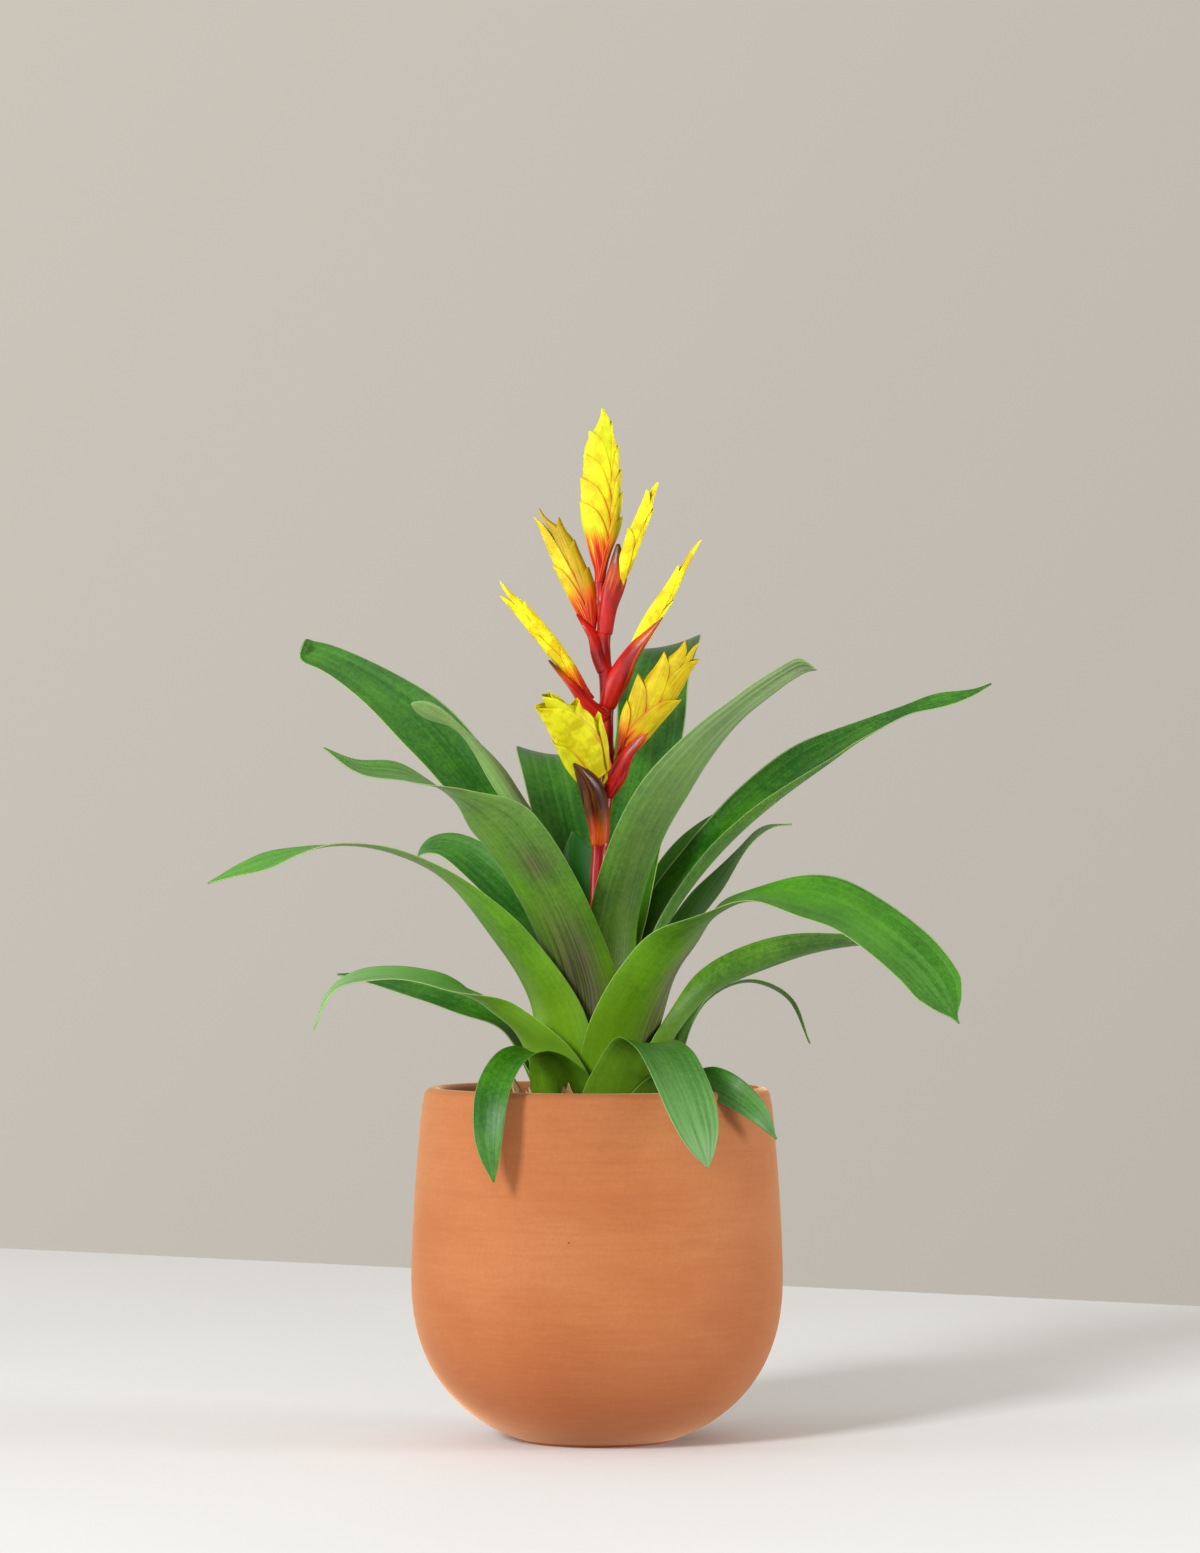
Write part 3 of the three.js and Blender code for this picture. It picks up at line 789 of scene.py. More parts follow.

# Rolls and cups are degrees at shares of the length, and a shape is a factor on the width there.
# A curl starts at a share of the length and goes to the upper side where it is positive.
# A leaf's depth is painted shade that darkens leaves lying in the shade of the rosette. Its pale bloom
# is partly a painted whitish sheen, and its pale margin partly a painted highlight.
LEAF_DEFAULTS = dict(
    tip_from=0.5, tip_power=2.0, rolls=[(0.0, 0.0)], cups=[(0.1, 45.0), (1.0, 15.0)],
    shape=[(0.0, 1.0)], curl=(1.0, 0.0), stain=0.0, stain_side=0.0, stain_from=0.1, stain_to=0.5,
    patch=0.0, bloom=0.3, depth=0.5, wave=0.5, margin=1.0,
)

# The innermost leaf comes first, and a leaf's rank is its place in the list.
LEAF_TABLE = [
    dict(name="leaf_core", heading=96, width=26, depth=2.6, cups=[(0.1, 45), (0.8, 45), (1.0, 20)],
         tip_power=3, margin=0.2, bloom=0.0, path=[(-2, 11, 214), (-7, 14, 231), (-10, 15, 246)]),
    dict(name="leaf_left_narrow", heading=180, width=11, tip_from=0.985,
         rolls=[(0.2, 0), (0.4, 62)], cups=[(0.1, 60), (1.0, 30)],
         shape=[(0.7, 0.9), (0.87, 0.3), (0.95, 0.8), (1.0, 0.5)], bloom=0.7, stain=0.9, stain_side=1.0,
         stain_to=0.9, depth=0.2,
         path=[(-13, 2, 218), (-34, 2, 257), (-56, -3, 287), (-67, -6, 293), (-75, -8, 297)]),
    dict(name="leaf_back_right_upright", heading=62, width=33, tip_from=0.7, tip_power=4,
         depth=0.8, path=[(14, 18, 234), (23, 38, 284), (25, 48, 307), (29, 60, 321), (31, 76, 324),
         (32, 92, 314)]),
    dict(name="leaf_back_left_upright", heading=111, width=27, tip_from=0.7, tip_power=4,
         depth=0.8,
         path=[(-8, 22, 216), (-17, 35, 258), (-21, 47, 275), (-22, 64, 278), (-24, 80, 268)]),
    dict(name="leaf_upper_left", heading=142, width=28, tip_from=0.985,
         rolls=[(0.12, 0), (0.75, -38)], shape=[(0.66, 1), (0.95, 0.5), (0.975, 0.42), (1.0, 0.1)],
         curl=(0.965, 120), depth=0.8,
         path=[(-22, 18, 214), (-45, 35, 255), (-76, 54, 293), (-112, 70, 318), (-130, 75.5, 323.5)]),
    dict(name="leaf_upper_right", heading=298, width=25, tip_from=0.99,
         shape=[(0.55, 1), (0.84, 0.5), (0.93, 0.44), (1.0, 0.46)], curl=(0.98, -60), bloom=0.9,
         stain=0.35, stain_from=0.15, stain_to=0.7, depth=0.6,
         path=[(8, -20, 206), (20, -34, 246), (43, -53, 280), (70, -71, 303), (86, -78, 312)]),
    dict(name="leaf_back_left_mid", heading=140, width=19, tip_power=4,
         rolls=[(0.12, 0), (0.7, -45)], curl=(0.93, -60), depth=0.8,
         path=[(-17, 17, 195), (-37, 36, 221), (-62, 50, 240), (-79, 55, 238)]),
    dict(name="leaf_right_long", heading=18, width=31,
         rolls=[(0.12, 0), (0.35, 4), (0.7, 24), (0.9, 60)], cups=[(0.1, 60), (0.5, 62), (1.0, 25)],
         shape=[(0.64, 1.1), (0.84, 0.34), (0.92, 0.75), (1.0, 0.75)], bloom=0.2, depth=0.9,
         path=[(25, 8, 202), (47, 22, 234), (84, 38, 268), (126, 51, 295), (157, 58, 304),
         (165, 60, 308)]),
    dict(name="leaf_right_behind", heading=46, width=20, rolls=[(0.12, 0), (0.75, 20)],
         path=[(22, 24, 205), (39, 47, 237), (64, 70, 257), (82, 84, 266)]),
    dict(name="leaf_front_left_big", heading=254, width=28, tip_from=0.42, tip_power=6,
         rolls=[(0.62, 0), (0.84, -58)], shape=[(0.58, 1.05), (0.71, 0.5), (0.86, 0.8), (1.0, 0.8)],
         stain=1.0, stain_from=0.05, stain_to=0.48, patch=0.8, bloom=0.5, depth=0.4,
         path=[(-7, -25, 184), (-21, -46, 220), (-43, -72, 251), (-74, -94, 265.5), (-92, -101, 268),
         (-105, -104, 276)]),
    dict(name="leaf_right_pale_tip", heading=30, width=17, bloom=2.5,
         rolls=[(0.12, 0), (0.75, 20)], shape=[(0.6, 1), (0.82, 0.45), (0.93, 0.9)], depth=0.2,
         path=[(26, 17, 189), (47, 36, 221), (70, 52, 247), (82, 58, 249)]),
    dict(name="leaf_back_high", heading=96, width=22,
         path=[(0, 36, 193), (2, 62, 236), (5, 98, 254), (6, 136, 240), (6, 156, 218)]),
    dict(name="leaf_left_long", heading=230, width=21, tip_from=0.72, cups=[(0.1, 30), (0.6, 10)],
         rolls=[(0.3, 0), (0.6, -26), (0.72, -32), (0.88, -80)],
         shape=[(0.3, 1), (0.56, 0.62), (0.70, 0.42), (0.80, 0.42), (0.90, 0.8)], bloom=0.5, depth=0.3,
         stain=0.35, stain_from=0.2, stain_side=-1.0, path=[(-19, -22, 176), (-41, -33, 209),
         (-67, -38, 231), (-100, -40, 239.5), (-140, -36, 230), (-155, -36, 224)]),
    dict(name="leaf_right_big", heading=296, width=33, tip_from=0.99,
         rolls=[(0.12, 0), (0.3, 10), (0.48, 42), (0.6, 58), (0.75, 48)], shape=[(0.36, 1), (0.51, 0.4),
         (0.68, 1.0), (0.84, 1.02), (0.92, 0.94), (0.965, 0.5), (0.975, 0.08)], stain=1.0,
         stain_from=0.0, stain_to=0.55, stain_side=1.0, bloom=0.25, depth=0.45, path=[(15, -31, 171),
         (32, -50, 198), (59, -69, 218), (92, -84, 214), (122, -94, 193), (139, -100, 170)]),
    dict(name="leaf_back_right_arching", heading=76, width=22,
         path=[(8, 34, 180), (13, 72, 210), (16, 108, 212), (18, 138, 190), (19, 152, 166)]),
    dict(name="leaf_right_channelled", heading=345, width=24,
         cups=[(0.1, 75), (0.6, 60), (1.0, 25)], rolls=[(0.12, 0), (0.5, -12), (0.8, 10)], bloom=0.2,
         depth=0.8, path=[(33, -8, 166), (48, -2, 182), (80, 6, 195), (117, 10, 200), (134, 10, 197)]),
    dict(name="leaf_lower_left", heading=226, width=19, cups=[(0.1, 36), (1.0, 12)],
         rolls=[(0.3, 0), (0.55, -46), (0.75, -46), (0.9, -20)], shape=[(0.4, 1), (0.7, 0.62)],
         tip_from=0.7, depth=-0.5, bloom=1.6,
         path=[(-26, -26, 163), (-46, -34, 177), (-78, -43, 188), (-103, -50, 183), (-112, -51, 166)]),
    dict(name="leaf_lower_left_behind", heading=164, width=15, rolls=[(0.12, 0), (0.5, -50)],
         depth=0.9, path=[(-38, 12, 166), (-60, 20, 177), (-84, 26, 184), (-107, 30, 187)]),
    dict(name="leaf_back_left_arching", heading=104, width=22,
         path=[(-9, 40, 168), (-13, 74, 190), (-15, 106, 182), (-16, 124, 150)]),
    dict(name="leaf_right_hooked", heading=22, width=10, tip_from=0.3, depth=0.8, wave=0.1,
         path=[(44, 19, 176), (62, 28, 184), (79, 35, 177), (88, 38, 158)]),
    dict(name="leaf_over_rim_left", heading=240, width=14, depth=0.9, tip_power=4,
         rolls=[(0.12, 0), (0.75, -20)], bloom=0.2, margin=0.4,
         path=[(-22, -40, 156), (-33, -58, 155), (-40, -70, 144), (-42, -76, 126), (-40, -78, 108)]),
    dict(name="leaf_over_rim_front", heading=291, width=25, tip_power=4.4, depth=0.6, bloom=0.95,
         cups=[(0.1, 45), (0.45, 14), (1.0, 8)], margin=0.3,
         path=[(18, -44, 160), (26, -62, 158), (32.5, -75, 146), (38.5, -82, 130), (43, -84, 114)]),
    dict(name="leaf_over_rim_right", heading=322, width=15, depth=0.9,
         rolls=[(0.12, 0), (0.75, 45)], bloom=0.7, margin=0.3, path=[(38, -34, 147), (50, -47, 143.4),
         (58, -50, 138.5), (64.5, -49, 132.5), (71, -43, 123)]),
    dict(name="leaf_over_rim_back", heading=74, width=20,
         path=[(12, 50, 156), (17, 68, 158), (22, 86, 142), (24, 90, 116)]),
]
LEAVES = [{**LEAF_DEFAULTS, "rank": rank, **leaf} for rank, leaf in enumerate(LEAF_TABLE)]
print("leaves:", len(LEAVES))

# %% Leaf shape


def from_stops(stops, share):
    """A number that goes smoothly from stop to stop. A stop is a share of the length and a number."""
    for (start, low), (end, high) in zip(stops, stops[1:]):
        if share < end:
            return lerp(low, high, smooth_step(share, start, end))
    return stops[-1][1]


def leaf_width(share, leaf):
    """Width at a share of the length: the broad sheath, the blade, and the tip."""
    body = lerp(SHEATH_WIDTH, leaf["width"], smooth_step(share, 0.0, 0.32))
    towards_tip = max(0.0, (share - leaf["tip_from"]) / (1.0 - leaf["tip_from"]))
    drawn_in = from_stops(leaf["shape"], share)
    return max(TIP_WIDTH, body * drawn_in * (1.0 - towards_tip ** leaf["tip_power"]))


def leaf_midrib(leaf):
    """Middle line of a leaf with the curl of its tip: points and directions, and the length of
    the line and of the sheath."""
    rank = leaf["rank"]
    foot = INNERMOST_FOOT + FOOT_STEP * rank
    heading = math.radians(leaf["heading"])
    rise = INNERMOST_RISE + RISE_STEP * rank
    lean = INNERMOST_LEAN + LEAN_STEP * rank
    foot_height = CONE_TOP - CONE_FALL * foot + 0.6

    def up(climb):
        radius = foot + lean * climb
        return (radius * math.cos(heading), radius * math.sin(heading), foot_height + climb)

    at, length = smooth_path([up(0.0), up(rise)] + leaf["path"])
    shares = [station / LEAF_ALONG for station in range(LEAF_ALONG + 1)]
    centres = [Vector(at(share)) for share in shares]
    directions = [tangent(at, share) for share in shares]
    return shares, centres, directions, length, math.hypot(rise, rise * lean)


def leaf_rows(leaf):
    """Where the cross-sections of a leaf are and how they stand, from the foot to the tip."""
    shares, centres, directions, length, sheath = leaf_midrib(leaf)
    heading = math.radians(leaf["heading"])
    side = Vector((-math.sin(heading), math.cos(heading), 0.0))
    curl_from, curl_degrees = leaf["curl"]
    curled = [share for share in shares if share > curl_from]
    bend = Matrix.Identity(3)
    rows = []
    for number, share in enumerate(shares):
        along = directions[number]
        side = (side - along * side.dot(along)).normalized()
        roll = math.radians(from_stops(leaf["rolls"], share))
        rolled = side * math.cos(roll) + along.cross(side) * math.sin(roll)
        centre = centres[number]
        if share > curl_from:
            bend = Matrix.Rotation(-math.radians(curl_degrees) / len(curled), 3, rolled) @ bend
            along = bend @ along
            centre = rows[-1]["centre"] + along * length / LEAF_ALONG
        rows.append({
            "share": share, "centre": centre, "rolled": rolled, "inward": along.cross(rolled),
            "width": leaf_width(share, leaf),
            "cup": math.radians(from_stops(leaf["cups"], share)),
            "hug": 1.0 - smooth_step(share * length, 0.7 * sheath, 2.6 * sheath),
            "wave": leaf["wave"] * smooth_step(share, 0.25, 0.6), "length": length,
        })
    return rows


def leaf_point(row, across, leaf):
    """A point of the leaf, with across from -1 at one margin to 1 at the other."""
    centre, width = row["centre"], row["width"]
    arc = width / 2 / row["cup"]
    ripple = row["wave"] * across * across * noise.noise(
        Vector((row["share"] * row["length"] / 22.0, across, leaf["rank"] * 3.7)))
    blade = (
        centre + row["rolled"] * arc * math.sin(across * row["cup"])
        + row["inward"] * (arc * (1.0 - math.cos(across * row["cup"])) + ripple)
    )
    radius = math.hypot(centre.x, centre.y)
    azimuth = math.atan2(centre.y, centre.x)
    angle = azimuth + across * min(width / 2 / radius, SHEATH_WRAP)
    sheath = Vector((radius * math.cos(angle), radius * math.sin(angle), centre.z))
    return blade.lerp(sheath, row["hug"])


def leaf_values(u, v, leaf):
    """Stain, bloom with its painted sheen, painted shade (the depth) and margin at a point."""
    across = 2 * u - 1
    lit = smooth_step(v, leaf["stain_from"] - 0.12, leaf["stain_from"] + 0.05)
    gone = smooth_step(v, leaf["stain_to"] - 0.25, leaf["stain_to"])
    if leaf["stain_side"]:
        sideways = smooth_step(across * leaf["stain_side"], -0.2, 0.8)
    else:
        sideways = 1.0 - smooth_step(abs(across), 0.25, 0.95)
    patch = leaf["patch"] * math.exp(-(((v - 0.48) / 0.05) ** 2))
    patch *= 1.0 - smooth_step(abs(across - 0.2), 0.1, 0.8)
    return {
        "stain": max(patch, leaf["stain"] * lit * (1.0 - gone) * sideways),
        "bloom": leaf["bloom"], "depth": leaf["depth"], "seed": leaf["rank"] * 1.37,
        "margin": leaf["margin"],
    }


def make_leaf(leaf):
    """The leaf as a sheet along its midrib, thick in the middle and thin at the margins."""
    rows = leaf_rows(leaf)

    def place(u, v):
        return leaf_point(rows[round(v * LEAF_ALONG)], 2 * u - 1, leaf)

    sheet = new_sheet(
        leaf["name"] + "_blade", LEAF_ACROSS, LEAF_ALONG, place, lambda u, v: leaf_values(u, v, leaf),
    )
    flesh = sheet.vertex_groups.new(name="flesh")
    for number in range(len(sheet.data.vertices)):
        across = abs(2 * (number % (LEAF_ACROSS + 1)) / LEAF_ACROSS - 1)
        flesh.add([number], 1.0 - across**3, "REPLACE")
    sheet.data.materials.append(leaf_under)
    sheet.data.materials.append(leaf_top)
    thicken(sheet, LEAF_THICKNESS, LEAF_EDGE_SHARE, inside_material=1)
    finish_piece(sheet, "leaf", leaf["name"])
    return sheet


print("longest leaf in mm:", round(max(leaf_rows(leaf)[0]["length"] for leaf in LEAVES)))

# %% [markdown]
# ## Leaf skin
# The upper side is a glossy, deep green with fine cross mottling and parallel veins that run from
# the sheath to the tip, so the veins follow the leaf's own UV map. The underside is duller and
# greyer, with a waxy bloom, and on both sides the pale bloom colour is partly a painted whitish
# sheen. Both have a thin pale margin, which is partly a painted highlight, and a leaf's depth
# darkens it as painted shade. The purple stain is drawn out in streaks.

# %% Leaf materials


LEAF_STAIN = palette(dark=(46, 28, 26), pale=(98, 80, 72))
LEAF_MARGIN_AND_HIGHLIGHT = colour(168, 190, 120)


def drawn_out(place, times_across, times_along, detail=3.0, roughness=0.6):
    """Noise that follows the piece's own UV map, so it can run along a leaf or a bract."""
    tree = place.id_data
    chart = add_node(tree, "SeparateXYZ", {0: place.outputs["UV"]})
    spot = add_node(tree, "CombineXYZ", {
        0: times(chart.outputs["X"], times_across), 1: times(chart.outputs["Y"], times_along),
        2: attribute(tree, "seed"),
    })
    return grain(spot.outputs[0], 1.0, detail, roughness)


def leaf_material(name, greens, gloss, bloom_share):
    material, tree, shader, place = start_material(name)
    chart = add_node(tree, "SeparateXYZ", {0: place.outputs["UV"]})
    across, along = chart.outputs["X"], chart.outputs["Y"]
    veins = drawn_out(place, 60.0, 2.0)
    streaks = drawn_out(place, 13.0, 1.6, 4.0)
    crossing = drawn_out(place, 7.0, 70.0, 4.0)
    mottle = grain(place.outputs["Object"], 620.0, 4.0, 0.7)
    clouds = grain(place.outputs["Object"], 34.0, 3.0)
    depth = attribute(tree, "depth")
    tone = ease(clouds, 0.3, 0.7, 0.22, 0.64)
    patterns = ((mottle, 0.35, 0.65, 0.24), (veins, 0.3, 0.7, 0.2), (crossing, 0.35, 0.7, 0.14),
                (streaks, 0.35, 0.7, 0.16))
    for pattern, start, full, share in patterns:
        tone = plus(tone, ease(pattern, start, full, 0.0, share))
    # Depth is painted shade: it darkens the green, and below it keeps the pale base off shaded leaves.
    tone = sums("SUBTRACT", tone, times(depth, 0.62), clamp=True)
    tint = blend(tone, greens["dark"], greens["light"])
    fed = times(ease(along, 0.42, 0.05, 0.0, 0.55), ease(depth, 0.3, 1.6, 1.0, 0.0))
    tint = blend(fed, tint, greens["base"])
    # The pale bloom colour is partly wax bloom and partly a painted whitish sheen.
    bloom_and_sheen_cover = times(attribute(tree, "bloom"), ease(streaks, 0.3, 0.65, 0.35, 1.0))
    bloom_and_sheen_cover = times(bloom_and_sheen_cover, ease(along, 0.35, 0.95, 0.05, 1.0))
    tint = blend(times(bloom_and_sheen_cover, bloom_share), tint, greens["bloom"])
    stain = times(attribute(tree, "stain"), ease(streaks, 0.32, 0.54, 0.45, 1.0))
    purple = paint(LEAF_STAIN["dark"], [(veins, 0.35, 0.65, 1.0, LEAF_STAIN["pale"])])
    tint = blend(times(stain, 0.85), tint, purple)
    # The thin pale margin line is partly a painted highlight along the edge.
    from_middle = sums("ABSOLUTE", sums("SUBTRACT", across, 0.5))
    margin = times(ease(from_middle, 0.486, 0.498, 0.0, 0.6), attribute(tree, "margin"))
    finish_shader(shader, blend(margin, tint, LEAF_MARGIN_AND_HIGHLIGHT), Specular_IOR_Level=0.22)
    roughness = ease(mottle, 0.3, 0.7, gloss - 0.05, gloss + 0.08)
    tree.links.new(roughness, shader.inputs["Roughness"])
    relief(shader, plus(veins, times(mottle, 0.25)), 0.00012, 0.6)
    return material


leaf_top = leaf_material("leaf_upper_side", palette(
    dark=(16, 76, 0), light=(74, 142, 12), base=(122, 164, 24), bloom=(122, 164, 104),
), 0.36, 0.75)
leaf_under = leaf_material("leaf_underside", palette(
    dark=(30, 78, 0), light=(94, 145, 20), base=(118, 160, 20), bloom=(146, 166, 120),
), 0.42, 0.9)
blades = [make_leaf(leaf) for leaf in LEAVES]
print("leaf faces in all:", sum(len(blade.data.polygons) for blade in blades))

# %% [markdown]
# ## Short stem
# The leaves stand on a short woody stem that is almost hidden between their feet. Its solid is
# right as it is, so it keeps its mesh and only gets a fibrous skin.

# %% Short stem skin
FIBRE = palette(dark=(74, 56, 36), pale=(140, 116, 72))

def fibrous_material():
    material, _, shader, place = start_material("short_stem_fibre")
    fibres = grain(place.outputs["Object"], 90.0, 4.0, 0.6, (6.0, 6.0, 1.0))
    tint = paint(FIBRE["dark"], [(fibres, 0.3, 0.7, 1.0, FIBRE["pale"])])
    finish_shader(shader, tint, Roughness=0.9)
    relief(shader, fibres, 0.0006, 0.8)
    return material


short_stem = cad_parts["short_stem"]
short_stem.data.materials.clear()
short_stem.data.materials.append(fibrous_material())
print("short stem faces:", len(short_stem.data.polygons))

# %% [markdown]
# ## Flower stem
# The stem is red, glossy and jointed like bamboo: at each joint it swells and a thin ridge runs
# round it, where a bract grew. It leans by only a few millimetres, so level rings that are
# extruded one above another follow it well.

# %% Stem shape
STEM_PATH = [
    (0.0, 0.0, 153.6), (0.0, 0.0, 200.0), (0.5, 0.0, 230.0), (3.0, 0.0, 256.0), (4.0, 0.0, 284.0),
    (3.2, 0.0, 313.0), (2.0, 0.0, 338.0), (1.2, -0.4, 347.0),
]
STEM_FOOT_RADIUS = 3.4
STEM_TOP_RADIUS = 2.3
STEM_JOINTS = (182.0, 212.0, 239.8, 259.6, 277.0, 295.7, 310.4, 325.2, 338.0)
STEM_SIDES = 20
JOINT_SWELL, JOINT_SWELL_REACH = 0.42, 2.6
JOINT_RIDGE, JOINT_RIDGE_REACH = 0.34, 0.55
STEM_RINGS = 150
RED = palette(
    deep=(128, 5, 6), bright=(186, 18, 8), shade=(84, 4, 8), pink=(204, 84, 60), rust=(166, 52, 12),
    orange=(200, 96, 14), brown=(48, 12, 8), straw=(104, 58, 18), rim=(84, 16, 14),
)

stem_at, _ = smooth_path(STEM_PATH)


def stem_ring(share):
    """Radius, height, x and y of the stem's ring at a share of its length."""
    x, y, z = stem_at(share)
    radius = lerp(STEM_FOOT_RADIUS, STEM_TOP_RADIUS, share)
    for joint in STEM_JOINTS:
        radius += JOINT_SWELL * math.exp(-(((z - joint) / JOINT_SWELL_REACH) ** 2))
        radius += JOINT_RIDGE * math.exp(-(((z - joint - 0.4) / JOINT_RIDGE_REACH) ** 2))
    return (radius, z, x, y)


def red_material(name, on_bracts):
    """The glossy red of the stem, or of the bracts on it, whose streaks follow their length."""
    material, tree, shader, place = start_material(name)
    where = place.outputs["Object"]
    clouds = grain(where, 110.0, 3.0, 0.5, (1.0, 1.0, 0.5))
    if on_bracts:
        strokes = drawn_out(place, 22.0, 2.2, 4.0)
    else:
        strokes = grain(where, 240.0, 4.0, 0.6, (1.0, 1.0, 0.10))
    # The thin pink strokes are painted highlights along the length.
    tint = paint(RED["deep"], [
        (clouds, 0.35, 0.65, 1.0, RED["bright"]), (strokes, 0.50, 0.36, 0.6, RED["shade"]),
        (strokes, 0.62, 0.72, 0.4, RED["pink"]),
    ])
    if on_bracts:
        aged = plus(attribute(tree, "aged"), times(sums("SUBTRACT", strokes, 0.5), 0.7))
        orange = paint(RED["rust"], [(strokes, 0.4, 0.6, 1.0, RED["orange"])])
        brown = paint(RED["brown"], [(strokes, 0.40, 0.62, 1.0, RED["straw"])])
        tint = paint(tint, [(aged, 0.18, 0.42, 0.7, orange), (aged, 0.5, 0.85, 1.0, brown)])
        tint = blend(attribute(tree, "rim"), tint, RED["rim"])
    finish_shader(shader, tint, Roughness=0.3, Specular_IOR_Level=0.35)
    relief(shader, strokes, 0.0002, 0.7)
    return material


stem_rings = [stem_ring(step / STEM_RINGS) for step in range(STEM_RINGS + 1)]
flower_stem = ring_stack("jointed_stem", STEM_SIDES, stem_rings)
flower_stem.data.materials.append(red_material("stem_red", False))
bpy.ops.object.shade_smooth_by_angle(angle=math.radians(60.0))
finish_piece(flower_stem, "red_stem", "flower_stem")
print("stem faces:", len(flower_stem.data.polygons))

# %% [markdown]
# ## Red bracts
# Below each side spike a red bract grows out of a joint. It clasps the stem, opens towards the
# spike like a boat and ends in a point. Its cross-section is a part of an ellipse that is almost
# closed at the foot and opens on the way up. `keel` is the direction that the boat's back faces:
# 0 is the front of the plant, 90 its right and -90 its left.

# %% Red bract shapes
BRACT_THICKNESS = 0.7
RED_BRACTS = [
    dict(name="red_bract_upper_right", keel=-25, aged=0.85, worn_from=0.25,
         stops=[(3.0, 0.0, 325.2, 2.9, 2.9), (4.6, -1.0, 336.2, 3.4, 3.6), (6.6, -2.0, 343.9, 4.2, 3.8),
         (8.0, -3.0, 349.5, 4.1, 3.4), (8.2, -3.8, 354.4, 2.8, 2.6), (8.5, -4.6, 361.7, 0.4, 0.5)]),
    dict(name="red_bract_upper_left", keel=-80, aged=0.15, worn_from=0.3,
         stops=[(3.2, 0.0, 310.2, 3.0, 3.0), (0.4, 0.0, 316.7, 3.0, 3.4), (-2.2, 0.4, 322.8, 3.4, 3.6),
         (-5.6, 1.0, 328.9, 2.4, 3.0), (-8.5, 1.6, 333.3, 0.4, 0.5)]),
    dict(name="red_bract_mid_right", keel=75, aged=0.7, worn_from=0.4,
         stops=[(4.0, 0.0, 295.7, 3.1, 3.1), (7.6, -2.0, 304.6, 4.5, 4.4),
         (12.8, -4.5, 312.4, 4.9, 4.4), (18.2, -7.0, 320.2, 3.8, 3.6), (23.0, -9.0, 326.6, 1.8, 2.0),
         (26.7, -10.4, 331.7, 0.4, 0.5)]),
    dict(name="red_bract_mid_left", keel=-75, aged=0.8, worn_from=0.35,
         stops=[(3.8, 0.0, 291.2, 3.0, 3.0), (-3.0, -2.0, 295.8, 2.8, 3.4),
         (-9.0, -3.2, 301.6, 2.9, 3.2), (-13.6, -4.0, 307.0, 1.7, 2.0),
         (-19.8, -5.2, 314.3, 0.4, 0.5)]),
    dict(name="red_bract_lower_right", keel=70, aged=0.5, worn_from=0.3,
         stops=[(3.4, 0.0, 260.0, 3.2, 3.2), (7.6, -2.0, 267.0, 3.9, 4.2),
         (12.6, -4.0, 275.0, 3.9, 4.2), (18.6, -6.4, 283.0, 2.4, 2.6), (22.5, -8.0, 288.6, 0.4, 0.5)]),
    dict(name="red_bract_lower_left", keel=-5, aged=1.3, worn_from=-0.5,
         stops=[(0.9, 0.0, 239.8, 3.3, 3.3), (1.0, -2.0, 247.5, 4.1, 4.0),
         (-0.6, -5.5, 256.4, 4.8, 4.8), (-2.6, -9.5, 262.9, 4.6, 5.0), (-5.0, -13.0, 267.0, 3.4, 4.4),
         (-7.6, -16.5, 270.6, 1.8, 3.0), (-10.1, -20.0, 273.4, 0.4, 0.5)]),
]


def red_bract(bract):
    """A boat-shaped sheet along its middle line."""
    at, _ = smooth_path(bract["stops"])
    keel = math.radians(bract["keel"])

    def place(u, v):
        x, y, z, half_width, half_depth = at(v)
        along = tangent(at, v)
        front = Vector((0.0, -1.0, 0.0))
        front = (front - along * front.dot(along)).normalized()
        right = along.cross(front) * -1.0
        opening = math.radians(lerp(172.0, 96.0, smooth_step(v, 0.05, 0.62)))
        angle = keel + (2 * u - 1) * opening
        return (
            Vector((x, y, z)) + right * half_width * math.sin(angle)
            + front * half_depth * math.cos(angle)
        )

    def values(u, v):
        edge = smooth_step(abs(2 * u - 1), 0.6, 1.0)
        worn = max(0.7 * edge, smooth_step(v, bract["worn_from"], 1.0))
        return {
            "aged": bract["aged"] * worn, "seed": bract["keel"] * 0.37,
            "rim": 0.8 * smooth_step(abs(2 * u - 1), 0.88, 1.0) * smooth_step(v, 0.2, 0.6),
        }

    sheet = new_sheet(bract["name"], 16, 24, place, values)
    sheet.data.materials.append(bract_red)
    thicken(sheet, BRACT_THICKNESS)
    finish_piece(sheet, "red_stem", "flower_stem")
    return sheet


bract_red = red_material("bract_red", True)
red_bracts = [red_bract(bract) for bract in RED_BRACTS]
print("red bract faces:", sum(len(bract.data.polygons) for bract in red_bracts))

# %% [markdown]
# ## Yellow spikes
# A spike is flat. Its bracts stand in two ranks, left and right, each folded over its keel like a
# hull, and each lower one wraps over the foot of the next. A bract is worked out from its keel,
# which follows the outline of the spike and ends in the free tip, and from its margins, which
# start past the middle and run out to the same tip. Young spikes are slim and the old ones low on
# the stem have spread to a fan, so every spike but the top one lists its bracts.

# %% Spike table
LEFT, RIGHT = 1, -1
